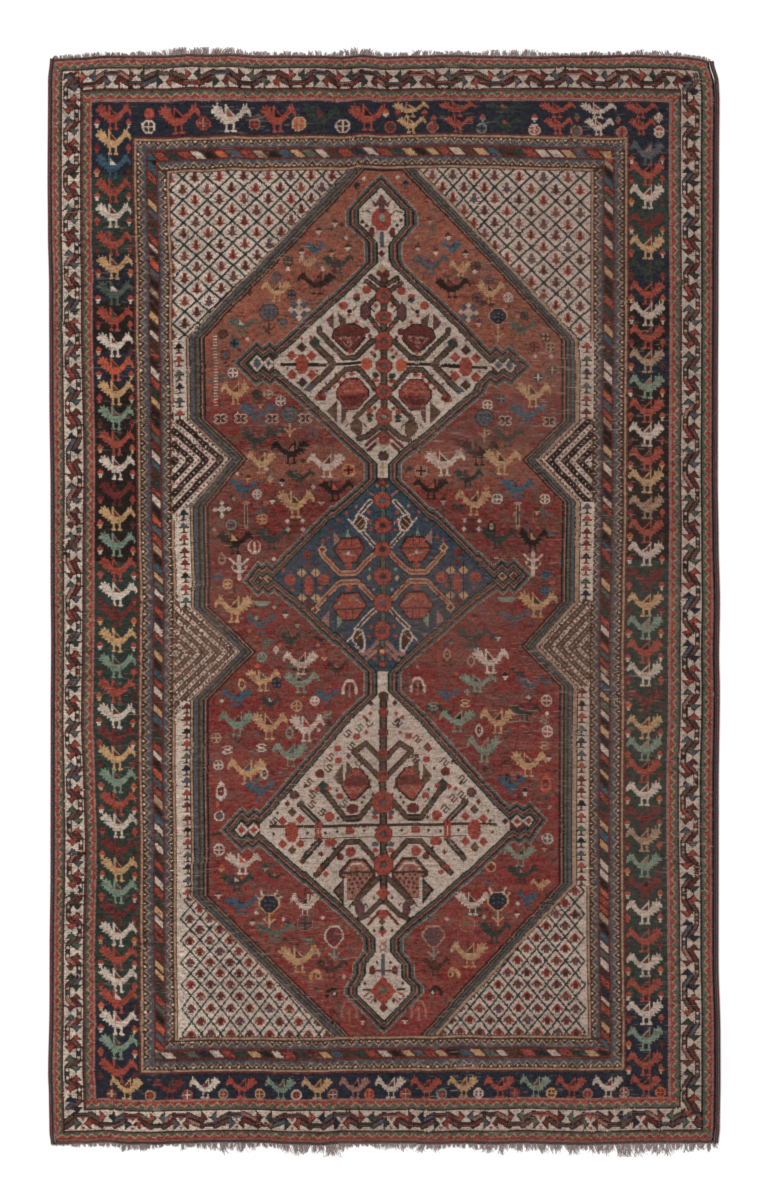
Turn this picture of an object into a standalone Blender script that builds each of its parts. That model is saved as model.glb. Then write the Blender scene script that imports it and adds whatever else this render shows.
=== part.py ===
"""An antique knotted tribal rug, lying flat, with overcast side cords and short warp fringes.

Metres, +Z up. The rug lies on Z = 0 with its length along Y. The origin is on the floor, under the
middle of the rug with its fringes.
"""

import random
from collections import namedtuple

import bpy
import numpy as np

# Driving sizes, in metres
WIDTH = 1.578             # over the outer side cords, at their widest
CLOTH_LENGTH = 2.560      # over both flat-woven end bands, without the fringes
PILE_HEIGHT = 0.0062      # knotted pile with its ground weave
CORD_DIAMETER = 0.0050    # each of the two wool-wrapped cords along a side
BAND_WIDTH = 0.006        # flat-woven band that ends the cloth
GAP = 0.0003              # between neighbouring pieces
FRINGE_TOP_REACH = 0.015  # of the farthest lock, past the straight end of the cloth
FRINGE_BOTTOM_REACH = 0.027
MM = 0.001

# A lock of warp ends: a flat tapering bunch of threads
LOCK_HEIGHT = 0.0026
LOCK_ROOT_SHARE = 0.66    # of the pitch from lock to lock
LOCK_BULGE_AT = 0.55      # of its length from the root, where it is still thick
LOCK_BULGE_SHARE = 0.84   # of its width at the root
LOCK_TIP_SHARE = 0.34     # of its width at the root
LOCK_LEAN = 0.0042        # the most that a tip stands to one side
LOCK_SHORTEST = 0.0035
LOCKS_PER_FRINGE = 140
LENGTH_JITTER = 0.45      # the most that a lock is shorter than its neighbours

# How far each edge lies outside the straight one. The straight edge is the widest place, so no
# value is above 0. Sides are read from the bottom corner up, ends from left to right.
Row = namedtuple("Row", "share mm")
LEFT_SIDE = (
    (0.000, -8.0), (0.012, -4.4), (0.045, -3.2), (0.065, -1.4), (0.130, -4.6), (0.180, -4.8),
    (0.250, -6.8), (0.400, -7.2), (0.460, -8.2), (0.520, -7.0), (0.600, -6.9), (0.690, -4.2),
    (0.790, -3.6), (0.840, -0.9), (0.890, 0.0), (0.980, -1.2), (1.000, -6.0),
)
RIGHT_SIDE = (
    (0.000, -5.0), (0.015, -1.6), (0.060, 0.0), (0.100, -0.2), (0.170, -4.6), (0.330, -4.2),
    (0.420, -1.6), (0.450, -3.2), (0.500, -1.4), (0.560, -4.6), (0.610, -6.3), (0.690, -6.0),
    (0.790, -4.8), (0.900, -3.6), (0.965, -2.4), (0.980, -4.0), (1.000, -16.0),
)
TOP_END = (
    (0.000, -12.0), (0.040, -9.4), (0.080, -4.8), (0.170, -4.6), (0.208, -0.6), (0.235, -2.0),
    (0.270, 0.0), (0.308, -4.6), (0.400, -4.7), (0.438, -6.8), (0.470, -2.4), (0.503, -7.0),
    (0.560, -4.6), (0.602, -2.4), (0.650, -4.7), (0.732, -6.8), (0.780, -4.7), (0.840, -4.4),
    (0.880, -2.4), (0.930, -4.7), (0.965, -7.4), (0.982, -11.0), (1.000, -18.0),
)
BOTTOM_END = (
    (0.000, -2.0), (0.040, -4.0), (0.078, -6.2), (0.115, -1.8), (0.150, -1.8), (0.190, -4.0),
    (0.240, -6.3), (0.305, -6.2), (0.370, -1.6), (0.404, 0.0), (0.440, -3.8), (0.540, -4.2),
    (0.570, -1.6), (0.620, -4.2), (0.666, -1.7), (0.710, -4.1), (0.765, -1.6), (0.800, 0.0),
    (0.840, -2.0), (0.900, -4.2), (1.000, -5.0),
)

# Length of the longest locks along each end, from left to right
TOP_FRINGE = (
    (0.00, 7), (0.05, 12), (0.10, 9), (0.16, 11), (0.20, 18), (0.25, 20), (0.29, 13), (0.33, 14),
    (0.36, 9), (0.42, 13), (0.47, 19), (0.51, 9), (0.54, 14), (0.60, 10), (0.66, 12), (0.72, 17),
    (0.78, 10), (0.85, 10), (0.92, 11), (1.00, 6),
)
BOTTOM_FRINGE = (
    (0.00, 5), (0.05, 8), (0.09, 14), (0.13, 15), (0.17, 8), (0.21, 16), (0.26, 24), (0.30, 20),
    (0.34, 13), (0.37, 27), (0.42, 29), (0.45, 8), (0.50, 15), (0.55, 20), (0.61, 10), (0.67, 20),
    (0.73, 20), (0.77, 27), (0.80, 15), (0.84, 31), (0.91, 29), (0.95, 24), (1.00, 16),
)

COLLECTION_NAME = "knotted_rug"
SIDE_POINTS = 45          # along a side edge or cord
END_POINTS = 57           # along an end edge

# The farthest locks reach as far from the origin at both ends, so the cloth lies off its middle.
CLOTH_MIDDLE_Y = (FRINGE_BOTTOM_REACH - FRINGE_TOP_REACH) / 2
TOP_Y = CLOTH_MIDDLE_Y + CLOTH_LENGTH / 2
BOTTOM_Y = CLOTH_MIDDLE_Y - CLOTH_LENGTH / 2
CORDS_WIDTH = 2 * (CORD_DIAMETER + GAP)


def clear_scene():
    for old in list(bpy.data.objects):
        bpy.data.objects.remove(old)


def new_collection(name):
    made = bpy.data.collections.new(name)
    bpy.context.scene.collection.children.link(made)
    return made


def finish(name, colour, roughness):
    """A Principled material with no metal in it."""
    made = bpy.data.materials.new(name)
    made.use_nodes = True
    shader = made.node_tree.nodes["Principled BSDF"]
    shader.inputs["Base Color"].default_value = (*colour, 1.0)
    shader.inputs["Roughness"].default_value = roughness
    shader.inputs["Metallic"].default_value = 0.0
    return made


def read_table(table, share):
    """What a table of rows says at a share, eased from row to row, in metres."""
    rows = [Row(*row) for row in table]
    above = next(i for i in range(1, len(rows)) if share <= rows[i].share or i == len(rows) - 1)
    low = rows[above - 1]
    high = rows[above]
    part = (share - low.share) / (high.share - low.share)
    eased = part * part * (3 - 2 * part)
    return (low.mm + (high.mm - low.mm) * eased) * MM


def left_x(along):
    return -WIDTH / 2 - read_table(LEFT_SIDE, along)


def right_x(along):
    return WIDTH / 2 + read_table(RIGHT_SIDE, along)


def top_y(across):
    return TOP_Y + read_table(TOP_END, across)


def bottom_y(across):
    return BOTTOM_Y - read_table(BOTTOM_END, across)


def cloth_point(across, along, side_inset=0.0, end_inset=0.0):
    """The place at a share of the width and of the length, on cloth trimmed by the two insets."""
    left = left_x(along) + side_inset
    right = right_x(along) - side_inset
    bottom = bottom_y(across) + end_inset
    top = top_y(across) - end_inset
    return left + (right - left) * across, bottom + (top - bottom) * along


def flat_piece(name, outline, height, material, collection):
    """A closed outline on the floor, raised to a height."""
    curve = bpy.data.curves.new(name, "CURVE")
    curve.dimensions = "2D"
    curve.fill_mode = "BOTH"
    curve.extrude = height / 2
    spline = curve.splines.new("POLY")
    spline.points.add(len(outline) - 1)
    for point, (x, y) in zip(spline.points, outline):
        point.co = (x, y, 0.0, 1.0)
    spline.use_cyclic_u = True
    piece = bpy.data.objects.new(name, curve)
    piece.location.z = height / 2
    curve.materials.append(material)
    collection.objects.link(piece)
    return piece


def side_cord(name, edge_x, steps_in, material, collection):
    """A round cord along one side. steps_in is its distance from the edge, + to the right."""
    curve = bpy.data.curves.new(name, "CURVE")
    curve.dimensions = "3D"
    curve.bevel_depth = CORD_DIAMETER / 2
    curve.bevel_resolution = 2
    curve.use_fill_caps = True
    spline = curve.splines.new("POLY")
    spline.points.add(SIDE_POINTS - 1)
    at_right = edge_x(0.5) > 0
    corner = 1.0 if at_right else 0.0
    low = bottom_y(corner)
    high = top_y(corner)
    for point, along in zip(spline.points, np.linspace(0, 1, SIDE_POINTS)):
        point.co = (edge_x(along) + steps_in, low + (high - low) * along, 0.0, 1.0)
    piece = bpy.data.objects.new(name, curve)
    piece.location.z = CORD_DIAMETER / 2
    curve.materials.append(material)
    collection.objects.link(piece)
    return piece


def pile_outline():
    """Round the knotted cloth, counter-clockwise from its bottom left corner."""
    side_inset = CORDS_WIDTH
    end_inset = BAND_WIDTH + GAP
    across = np.linspace(0, 1, END_POINTS)
    along = np.linspace(0, 1, SIDE_POINTS)
    rim = [(share, 0.0) for share in across[:-1]]
    rim += [(1.0, share) for share in along[:-1]]
    rim += [(share, 1.0) for share in across[:0:-1]]
    rim += [(0.0, share) for share in along[:0:-1]]
    return [cloth_point(s, t, side_inset, end_inset) for s, t in rim]


def lock_lengths(table, end_y, straight_end, outwards, reach, chance):
    """A length for each lock, uneven from lock to lock, so that the farthest tip is at the reach."""
    shares = (np.arange(LOCKS_PER_FRINGE) + 0.5) / LOCKS_PER_FRINGE
    jitter = np.array([1 - LENGTH_JITTER * chance.random() for _ in shares])
    lengths = np.array([read_table(table, share) for share in shares]) * jitter
    lengths = np.maximum(lengths, LOCK_SHORTEST)
    roots = np.array([outwards * (end_y(share) - straight_end) for share in shares])
    return lengths + reach - (lengths + roots).max()


def fringe_outline(end_y, outwards, lengths, chance):
    """A flat-woven band with its locks, as one comb. outwards is +1 at the top, -1 at the bottom."""
    along = 1.0 if outwards > 0 else 0.0
    left = left_x(along) + CORDS_WIDTH
    right = right_x(along) - CORDS_WIDTH
    pitch = (right - left) / LOCKS_PER_FRINGE
    root = pitch * LOCK_ROOT_SHARE
    tip = root * LOCK_TIP_SHARE
    comb = []
    for i, length in enumerate(lengths):
        share = (i + 0.5) / LOCKS_PER_FRINGE
        x = left + (right - left) * share
        y = end_y(share)
        lean = LOCK_LEAN * (2 * chance.random() - 1) * length / max(lengths)
        bulge_y = y + outwards * length * LOCK_BULGE_AT
        tip_y = y + outwards * length
        bulge = root * LOCK_BULGE_SHARE
        comb += [(x - root / 2, y), (x - bulge / 2 + lean / 3, bulge_y)]
        comb += [(x - tip / 2 + lean, tip_y), (x + tip / 2 + lean, tip_y)]
        comb += [(x + bulge / 2 + lean / 3, bulge_y), (x + root / 2, y)]
    corner_left = (left, end_y(0.0))
    corner_right = (right, end_y(1.0))
    inner = [
        (left + (right - left) * share, end_y(share) - outwards * BAND_WIDTH)
        for share in np.linspace(1, 0, END_POINTS)
    ]
    return [corner_left, *comb, corner_right, *inner]


def build():
    clear_scene()
    parts = new_collection(COLLECTION_NAME)
    pile_wool = finish("pile_wool", (0.30, 0.09, 0.065), 0.95)
    red_cord = finish("red_cord_wool", (0.22, 0.035, 0.04), 0.9)
    dark_cord = finish("dark_cord_wool", (0.035, 0.025, 0.022), 0.9)
    warp = finish("warp_wool", (0.42, 0.34, 0.31), 0.95)

    flat_piece("pile", pile_outline(), PILE_HEIGHT, pile_wool, parts)

    outer = CORD_DIAMETER / 2
    inner = outer + CORD_DIAMETER + GAP
    side_cord("cord_left_outer", left_x, outer, red_cord, parts)
    side_cord("cord_left_inner", left_x, inner, dark_cord, parts)
    side_cord("cord_right_outer", right_x, -outer, red_cord, parts)
    side_cord("cord_right_inner", right_x, -inner, dark_cord, parts)

    ends = (
        ("fringe_top", top_y, TOP_Y, 1, TOP_FRINGE, FRINGE_TOP_REACH, 11),
        ("fringe_bottom", bottom_y, BOTTOM_Y, -1, BOTTOM_FRINGE, FRINGE_BOTTOM_REACH, 23),
    )
    for name, end_y, straight_end, outwards, table, reach, seed in ends:
        chance = random.Random(seed)
        lengths = lock_lengths(table, end_y, straight_end, outwards, reach, chance)
        outline = fringe_outline(end_y, outwards, lengths, chance)
        flat_piece(name, outline, LOCK_HEIGHT, warp, parts)


build()
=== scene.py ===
# %% [markdown]
# # An old knotted tribal rug, made in Blender
#
# The rug lies flat on a pale floor, seen from straight above. It has a knotted wool pile with three
# medallions, two wool-wrapped cords down each side, and short warp fringes at both ends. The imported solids
# come first, as a fixed frame. Everything made here takes its place and its size from them.

# %% The frame
import math
import random

import bpy
import numpy as np
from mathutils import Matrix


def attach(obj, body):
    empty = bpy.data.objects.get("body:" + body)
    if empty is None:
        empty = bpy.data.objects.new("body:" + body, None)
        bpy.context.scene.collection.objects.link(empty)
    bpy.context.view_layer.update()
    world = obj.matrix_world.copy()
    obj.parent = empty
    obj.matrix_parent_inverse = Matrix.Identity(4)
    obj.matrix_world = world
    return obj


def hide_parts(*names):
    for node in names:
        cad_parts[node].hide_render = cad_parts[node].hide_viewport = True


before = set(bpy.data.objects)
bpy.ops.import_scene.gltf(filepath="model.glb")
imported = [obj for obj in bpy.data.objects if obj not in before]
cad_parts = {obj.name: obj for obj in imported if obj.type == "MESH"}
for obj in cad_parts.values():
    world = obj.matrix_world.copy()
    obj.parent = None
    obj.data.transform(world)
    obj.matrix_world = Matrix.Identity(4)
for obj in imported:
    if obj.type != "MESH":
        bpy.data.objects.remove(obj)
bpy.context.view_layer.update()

# %% [markdown]
# ## The cloth's own edges
#
# A hand-made rug is never a true rectangle. The tables below say how far each edge lies inside the straight
# one, in millimetres, and they are the tables that the solids were made from. A place on the cloth is then
# given by two shares, one across and one along, so that every thread follows the uneven edges.

# %% Sizes and edges
WIDTH = 1.578             # over the outer side cords, at their widest
CLOTH_LENGTH = 2.560      # over both flat-woven end bands
PILE_HEIGHT = 0.0062
CORD_DIAMETER = 0.0050
BAND_WIDTH = 0.006        # flat-woven band that ends the cloth
GAP = 0.0003              # between neighbouring pieces, and under the cloth
RIM_WEAR = (0.0022, 0.0004)     # how much lower the pile is at its rim and one row in from it
FRINGE_TOP_REACH = 0.015
FRINGE_BOTTOM_REACH = 0.027
MM = 0.001
CLOTH_MIDDLE_Y = (FRINGE_BOTTOM_REACH - FRINGE_TOP_REACH) / 2
TOP_Y = CLOTH_MIDDLE_Y + CLOTH_LENGTH / 2
BOTTOM_Y = CLOTH_MIDDLE_Y - CLOTH_LENGTH / 2
CORDS_WIDTH = 2 * (CORD_DIAMETER + GAP)

# Sides are read from the bottom corner up and ends from left to right: share of the edge, millimetres
LEFT_SIDE = (
    (0, -8), (0.012, -4.4), (0.045, -3.2), (0.065, -1.4), (0.13, -4.6), (0.18, -4.8), (0.25, -6.8),
    (0.4, -7.2), (0.46, -8.2), (0.52, -7), (0.6, -6.9), (0.69, -4.2), (0.79, -3.6), (0.84, -0.9), (0.89, 0),
    (0.98, -1.2), (1, -6),
)
RIGHT_SIDE = (
    (0, -5), (0.015, -1.6), (0.06, 0), (0.1, -0.2), (0.17, -4.6), (0.33, -4.2), (0.42, -1.6), (0.45, -3.2),
    (0.5, -1.4), (0.56, -4.6), (0.61, -6.3), (0.69, -6), (0.79, -4.8), (0.9, -3.6), (0.965, -2.4),
    (0.98, -4), (1, -16),
)
TOP_END = (
    (0, -12), (0.04, -9.4), (0.08, -4.8), (0.17, -4.6), (0.208, -0.6), (0.235, -2), (0.27, 0),
    (0.308, -4.6), (0.4, -4.7), (0.438, -6.8), (0.47, -2.4), (0.503, -7), (0.56, -4.6), (0.602, -2.4),
    (0.65, -4.7), (0.732, -6.8), (0.78, -4.7), (0.84, -4.4), (0.88, -2.4), (0.93, -4.7), (0.965, -7.4),
    (0.982, -11), (1, -18),
)
BOTTOM_END = (
    (0, -2), (0.04, -4), (0.078, -6.2), (0.115, -1.8), (0.15, -1.8), (0.19, -4), (0.24, -6.3),
    (0.305, -6.2), (0.37, -1.6), (0.404, 0), (0.44, -3.8), (0.54, -4.2), (0.57, -1.6), (0.62, -4.2),
    (0.666, -1.7), (0.71, -4.1), (0.765, -1.6), (0.8, 0), (0.84, -2), (0.9, -4.2), (1, -5),
)


def read_table(table, share):
    """What a table of rows says at a share or at an array of them, eased from row to row, in metres."""
    shares, values = np.array(table).T
    share = np.asarray(share, float)
    low = np.clip(np.searchsorted(shares, share, side="left") - 1, 0, len(shares) - 2)
    part = (share - shares[low]) / (shares[low + 1] - shares[low])
    eased = part * part * (3 - 2 * part)
    return (values[low] + (values[low + 1] - values[low]) * eased) * MM


def cloth_point(across, along, side_inset=0.0, end_inset=0.0):
    """The place at a share of the width and of the length, on cloth trimmed by the two insets."""
    left = -WIDTH / 2 - read_table(LEFT_SIDE, along) + side_inset
    right = WIDTH / 2 + read_table(RIGHT_SIDE, along) - side_inset
    bottom = BOTTOM_Y - read_table(BOTTOM_END, across) + end_inset
    top = TOP_Y + read_table(TOP_END, across) - end_inset
    return left + (right - left) * across, bottom + (top - bottom) * along


# How far the weaver let the borders wander, in knots. Each row gives a place along the rug, in knots from its
# top edge, and the sideways shift of the outer and inner borders, from left to right.
SIDEWAYS = (
    (0, -0.3, -2.4, 4.8, -0.3), (128, 0.2, -2.4, 4.8, 0), (200, -0.5, -0.9, 4.7, 1.4),
    (272, -0.7, -1.4, 4.8, 1.8), (344, 0.7, 0, 4.1, 2.1), (380, 1.2, -0.3, 4, 1.5),
    (452, 0.2, -0.2, 3.5, 1.7), (488, -0.5, 0.6, 2.2, 1.4), (524, -0.8, 2, 0.4, 0.2),
    (596, -1.8, 1.2, -0.5, 0), (668, -2.5, 1, -0.3, -0.4), (704, -0.5, 0.8, 0, -1.4),
    (776, 2, 2.3, -0.4, -1.4), (848, 1, 2.6, 0, 0), (920, 0.3, 3.7, 0.5, 0.2), (992, 1.2, 5, -0.1, -1.6),
    (1084, 2, 5.6, 0, -0.5),
)
SIDEWAYS_AT = (0, 21, 101, 556, 637, 660)      # columns where those shifts hold; none at the very edges
# The same for the places across the rug, and the lengthways shift of the borders from top to bottom
LENGTHWAYS = (
    (0, -0.2, 2, 0.6, 0.4), (78, -0.2, 3.4, 1.2, 0.6), (114, -0.2, 4.5, 2.2, 0.8),
    (150, -0.2, 4.4, 2.1, 1.3), (186, 0.6, 2.6, 2.3, 0.6), (222, -0.3, 1.5, 1.6, 0.9),
    (258, -1.1, 0.6, 0.5, -0.9), (294, 0.2, 0.1, 0.6, -0.1), (330, 0.4, -1.1, 0.4, 0.5),
    (366, 0.3, -1.2, -0.5, -0.1), (402, 0.7, -0.6, -1, 0), (438, 0.3, -1.1, -1.2, -1.3),
    (474, -1.4, -0.2, -0.9, -1.3), (510, -1.1, 1.4, -1.6, -1.4), (546, 0.4, 2.7, -1.3, -1.3),
    (660, 0.5, 2.7, -1.2, -1.2),
)
LENGTHWAYS_AT = (0, 17, 94, 998, 1060, 1084)


def wander(columns, rows):
    """Where the knots at these places of the chart lie on the cloth, as shares across and along."""
    def shift(table, stops, here, cross):
        table = np.array(table)
        shares = [np.zeros_like(here)] + [np.interp(here, table[:, 0], table[:, i]) for i in range(1, 5)]
        shares.append(np.zeros_like(here))
        total = np.zeros_like(here)
        for i, (low, high) in enumerate(zip(stops, stops[1:])):
            part = np.clip((cross - low) / (high - low), 0, 1)
            total += np.where((cross >= low) & (cross <= high) if i == 0 else (cross > low) & (cross <= high),
                              shares[i] + (shares[i + 1] - shares[i]) * part, 0)
        return total
    sideways = shift(SIDEWAYS, SIDEWAYS_AT, rows, columns)
    lengthways = shift(LENGTHWAYS, LENGTHWAYS_AT, columns, rows)
    return (columns + sideways) / 660, 1 - (rows + lengthways) / 1084


corners = [cloth_point(s, t) for s in (0, 1) for t in (0, 1)]
print("cloth corners:", [(round(float(x), 3), round(float(y), 3)) for x, y in corners])

# %% [markdown]
# ## The weaver's chart
#
# A knotted rug is a picture made of knots, so it is drawn the way a weaver's chart is: squared paper, one
# square for each knot, and a dye named for each square. Image files are not needed for that. The paper is an
# array of small whole numbers, and the functions below fill outlines, draw bands and stamp small charted
# motifs on it. The paper has a margin round the pile, where the cords and the fringes go.

# %% Squared paper and dyes
PAPER_WIDE = 768
PAPER_HIGH = 1204
PILE_LEFT = 54            # first column of knots
PILE_TOP = 58             # first row of knots
COLUMNS = 660
ROWS = 1084
KNOT = WIDTH / 673        # width of one knot, about 2.3 mm

# Each dye by its letter in the charts: name, and colour as the eye reads it, 0 to 255
DYES = {
    "F": ("field", (112, 54, 45)),
    "W": ("ivory", (186, 169, 154)),
    "R": ("scarlet", (136, 62, 51)),
    "M": ("maroon", (92, 42, 39)),
    "O": ("orange", (160, 76, 54)),
    "K": ("black brown", (36, 29, 26)),
    "D": ("dark brown", (62, 43, 35)),
    "U": ("umber", (82, 62, 51)),
    "N": ("navy", (37, 37, 44)),
    "B": ("indigo", (55, 74, 85)),
    "S": ("slate", (72, 72, 76)),
    "G": ("bottle green", (45, 51, 45)),
    "E": ("grey green", (72, 78, 67)),
    "L": ("light green", (106, 119, 102)),
    "Y": ("gold", (168, 131, 94)),
    "T": ("tan", (146, 116, 93)),
    "P": ("plum", (88, 58, 57)),
    "I": ("pink grey", (132, 92, 84)),
    "A": ("faded red", (136, 90, 77)),
    "C": ("medallion blue", (50, 59, 68)),
}
CODES = {letter: number for number, letter in enumerate(DYES)}
chart = np.zeros((PAPER_HIGH, PAPER_WIDE), np.uint8)


def window(points):
    """Rows and columns round an outline, and the middles of their squares."""
    low = np.floor(np.min(points, axis=0)).astype(int)
    high = np.ceil(np.max(points, axis=0)).astype(int) + 1
    x0, y0 = np.maximum(low, 0)
    x1, y1 = np.minimum(high, (PAPER_WIDE, PAPER_HIGH))
    return slice(y0, y1), slice(x0, x1), np.arange(x0, x1) + 0.5, np.arange(y0, y1)[:, None] + 0.5


def within(points, xs, ys):
    """Which squares have their middle inside an outline."""
    inside = np.zeros((ys.size, xs.size), bool)
    for (ax, ay), (bx, by) in zip(points, points[1:] + points[:1]):
        if ay != by:
            crossing = ax + (ys - ay) * (bx - ax) / (by - ay)
            inside ^= ((ay > ys) != (by > ys)) & (xs < crossing)
    return inside


def fill(points, dye):
    rows, columns, xs, ys = window(points)
    chart[rows, columns][within(points, xs, ys)] = CODES[dye]


def whole_mask(points):
    mask = np.zeros(chart.shape, bool)
    rows, columns, xs, ys = window(points)
    mask[rows, columns] = within(points, xs, ys)
    return mask


def block(x0, y0, x1, y1, dye):
    chart[round(y0):round(y1), round(x0):round(x1)] = CODES[dye]


def stroke(points, width, dye):
    """A line through points, so many knots wide."""
    for (ax, ay), (bx, by) in zip(points, points[1:]):
        rows, columns, xs, ys = window([(min(ax, bx) - width, min(ay, by) - width),
                                        (max(ax, bx) + width, max(ay, by) + width)])
        length = max((bx - ax) ** 2 + (by - ay) ** 2, 1e-6)
        part = np.clip(((xs - ax) * (bx - ax) + (ys - ay) * (by - ay)) / length, 0, 1)
        away = np.hypot(xs - ax - part * (bx - ax), ys - ay - part * (by - ay))
        chart[rows, columns][away <= width / 2] = CODES[dye]


def speck(x, y, dye, size=2.4):
    half = size / 2
    fill([(x - half, y), (x, y - half), (x + half, y), (x, y + half)], dye)


def odd_ends(changes, seed, where=True):
    """Knots a share of a dye with odd ends of another. Each change is a dye, a share and the other dye."""
    chance = np.random.default_rng(seed).random(chart.shape)
    for dye, share, other in changes:
        chart[where & (chart == CODES[dye]) & (chance < share)] = CODES[other]


def grown(mask, steps):
    """The mask with so many knots more on every side, counted along rows and columns as a weaver does."""
    for _ in range(steps):
        wide = mask.copy()
        wide[1:] |= mask[:-1]
        wide[:-1] |= mask[1:]
        wide[:, 1:] |= mask[:, :-1]
        wide[:, :-1] |= mask[:, 1:]
        mask = wide
    return mask


def shrunk(mask, steps):
    return ~grown(~mask, steps)


def stamp(motif, x, y, wide, high, swap=None, flip=False):
    """Puts a charted motif on the paper, its top left corner at x, y. A point leaves a square as it is."""
    cells = np.array([list(line) for line in motif])
    if flip:
        cells = cells[:, ::-1]
    wide, high = round(wide), round(high)
    pick_row = ((np.arange(high) + 0.5) * cells.shape[0] / high).astype(int)
    pick_column = ((np.arange(wide) + 0.5) * cells.shape[1] / wide).astype(int)
    cells = cells[pick_row][:, pick_column]
    x, y = round(x), round(y)
    for letter in set(cells.ravel()) - {"."}:
        dye = (swap or {}).get(letter, letter)
        chart[y:y + high, x:x + wide][cells == letter] = CODES[dye]


print(len(DYES), "dyes;", COLUMNS, "by", ROWS, "knots of", round(KNOT * 1000, 2), "mm")

# %% [markdown]
# ## The borders
#
# The borders are rings, one inside the other. Each row of the table gives a ring's dye and where its outer
# edge runs on the left, top, right and bottom, because the weaver let the four sides drift apart a little.
# Painting them from the outside in leaves each one showing as a stripe.

# %% Rings
RINGS = (
    ("K", 54, 58, 714, 1142), ("I", 54, 58, 711.6, 1142), ("R", 56, 60, 709.6, 1139.6),
    ("M", 62, 66.6, 702.4, 1133), ("K", 63.2, 67.6, 701.6, 1132), ("W", 64.5, 69, 700.2, 1130.6),
    ("K", 82, 88.4, 680, 1111), ("M", 83, 89.4, 679, 1110.4), ("R", 85, 91.4, 677.6, 1108.8),
    ("I", 92, 98.4, 669.8, 1101.2), ("N", 94.5, 100.6, 666.8, 1099), ("M", 135.8, 133.8, 624.6, 1073.2),
    ("T", 137.6, 135.6, 622.6, 1071.4), ("D", 139.6, 137.6, 620.6, 1069.4),
    ("M", 150.2, 146.4, 610, 1059.8), ("D", 152.4, 148.6, 608, 1057.4), ("M", 160, 156, 600.4, 1050.8),
    ("D", 161.6, 157.6, 598.4, 1048.4), ("T", 170.8, 167, 588.8, 1039.2), ("M", 173, 168.8, 586.8, 1037.4),
    ("W", 174.2, 170, 585.6, 1036.4),
)


TOOTH = 0.27              # how far a guard stripe's teeth reach, as a share of its width
BARBER_DYES = "YKBRGMYBDGRWKOSRTKBYEWDRNWRG"
DARK_EDGE = 3.0


def paint_rings():
    for dye, left, top, right, bottom in RINGS:
        block(left, top, right, bottom, dye)


def four_sides(outer, inner):
    """The four strips between two rings: start and end along, and the two edges, outer one first."""
    left, top, right, bottom = RINGS[outer][1:]
    left_in, top_in, right_in, bottom_in = RINGS[inner][1:]
    return (
        ("top", left, right, top, top_in), ("bottom", left, right, bottom, bottom_in),
        ("left", top_in, bottom_in, left, left_in), ("right", top_in, bottom_in, right, right_in),
    )


def place(side, along, across):
    return (along, across) if side in ("top", "bottom") else (across, along)


def zigzag(outer, inner, outside, line, inside, pitch, seed, middle=0.5, dot=None):
    """A guard stripe of two rows of teeth, parted by a thin zigzag line, with a row of dots if asked."""
    chance = random.Random(seed)
    for side, start, end, out_edge, in_edge in four_sides(outer, inner):
        count = round((end - start) / pitch)
        turns = []
        for i in range(2 * count + 1):
            share = middle + (TOOTH if i % 2 else -TOOTH) + chance.uniform(-0.04, 0.04)
            along = start + (end - start) * i / (2 * count) + chance.uniform(-0.5, 0.5)
            turns.append(place(side, along, out_edge + (in_edge - out_edge) * share))
        rim = [place(side, end, out_edge), place(side, start, out_edge)]
        fill([place(side, start, in_edge), place(side, end, in_edge)] + rim, inside)
        fill(turns + rim, outside)
        stroke(turns, 1.1, line)
        if dot:
            for i in range(1 if dot[1] < 0.5 else 2, 2 * count, 2):
                along = start + (end - start) * i / (2 * count)
                x, y = place(side, along, out_edge + (in_edge - out_edge) * dot[1])
                stroke([(x - 0.5, y), (x + 0.5, y)], 1.5, dot[0])


def barber_pole(outer, inner, seed):
    """Slanting stripes of many dyes, each with a dark edge."""
    chance = random.Random(seed)
    for side, start, end, *edges in four_sides(outer, inner):
        low, high = sorted(edges)
        lean = high - low
        along = start - 8.0
        i = chance.randrange(len(BARBER_DYES))
        while along < end + 4:
            step = chance.uniform(10.5, 14.0) if side in ("top", "bottom") else chance.uniform(7.6, 10.4)
            dye = BARBER_DYES[i % len(BARBER_DYES)] if chance.random() > 0.15 else chance.choice("RWYEK")
            far = along + step
            for near, letter in ((along, dye), (far - DARK_EDGE, "D")):
                corners = ((near, low), (far, low), (far + lean, high), (near + lean, high))
                fill([place(side, min(max(a, start), end), b) for a, b in corners], letter)
            along += step
            i += 1


paint_rings()
zigzag(2, 3, "R", "T", "E", 9.2, seed=1)
zigzag(8, 9, "E", "T", "R", 9.4, seed=2)
zigzag(13, 14, "D", "T", "S", 9.0, seed=3, middle=0.48, dot=("W", 0.25))
barber_pole(15, 16, seed=4)
zigzag(17, 18, "S", "T", "D", 9.0, seed=5, dot=("W", 0.76))
print(len(RINGS), "rings painted")

# %% [markdown]
# ## The running arrow border
#
# On the ivory border a bar lies first along one edge and then along the other. Two slanting threads join each
# bar to the next, and an arrowhead stands at either end of them. Every second unit is the same one turned
# over. The weaver squeezed and stretched the units to make them fit, so their places are given by a table.

# %% Ivory border
# For each side: where the units' middles are, as pairs of count and square, and whether the first is turned
CELL_PLACES = {
    "top": (((0, 90), (2, 140), (5, 223), (8, 298), (10, 345), (14, 441), (18, 546), (23, 670)), 1),
    "bottom": (((0, 81), (4, 176), (8, 288), (12, 388), (24, 690)), 1),
    "left": (((0, 91), (4, 176), (14, 404), (22, 602), (30, 782), (36, 910), (45, 1094)), 0),
    "right": (((0, 95), (6, 230), (14, 419), (26, 712), (34, 895), (38, 994), (42, 1095)), 1),
}
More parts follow.
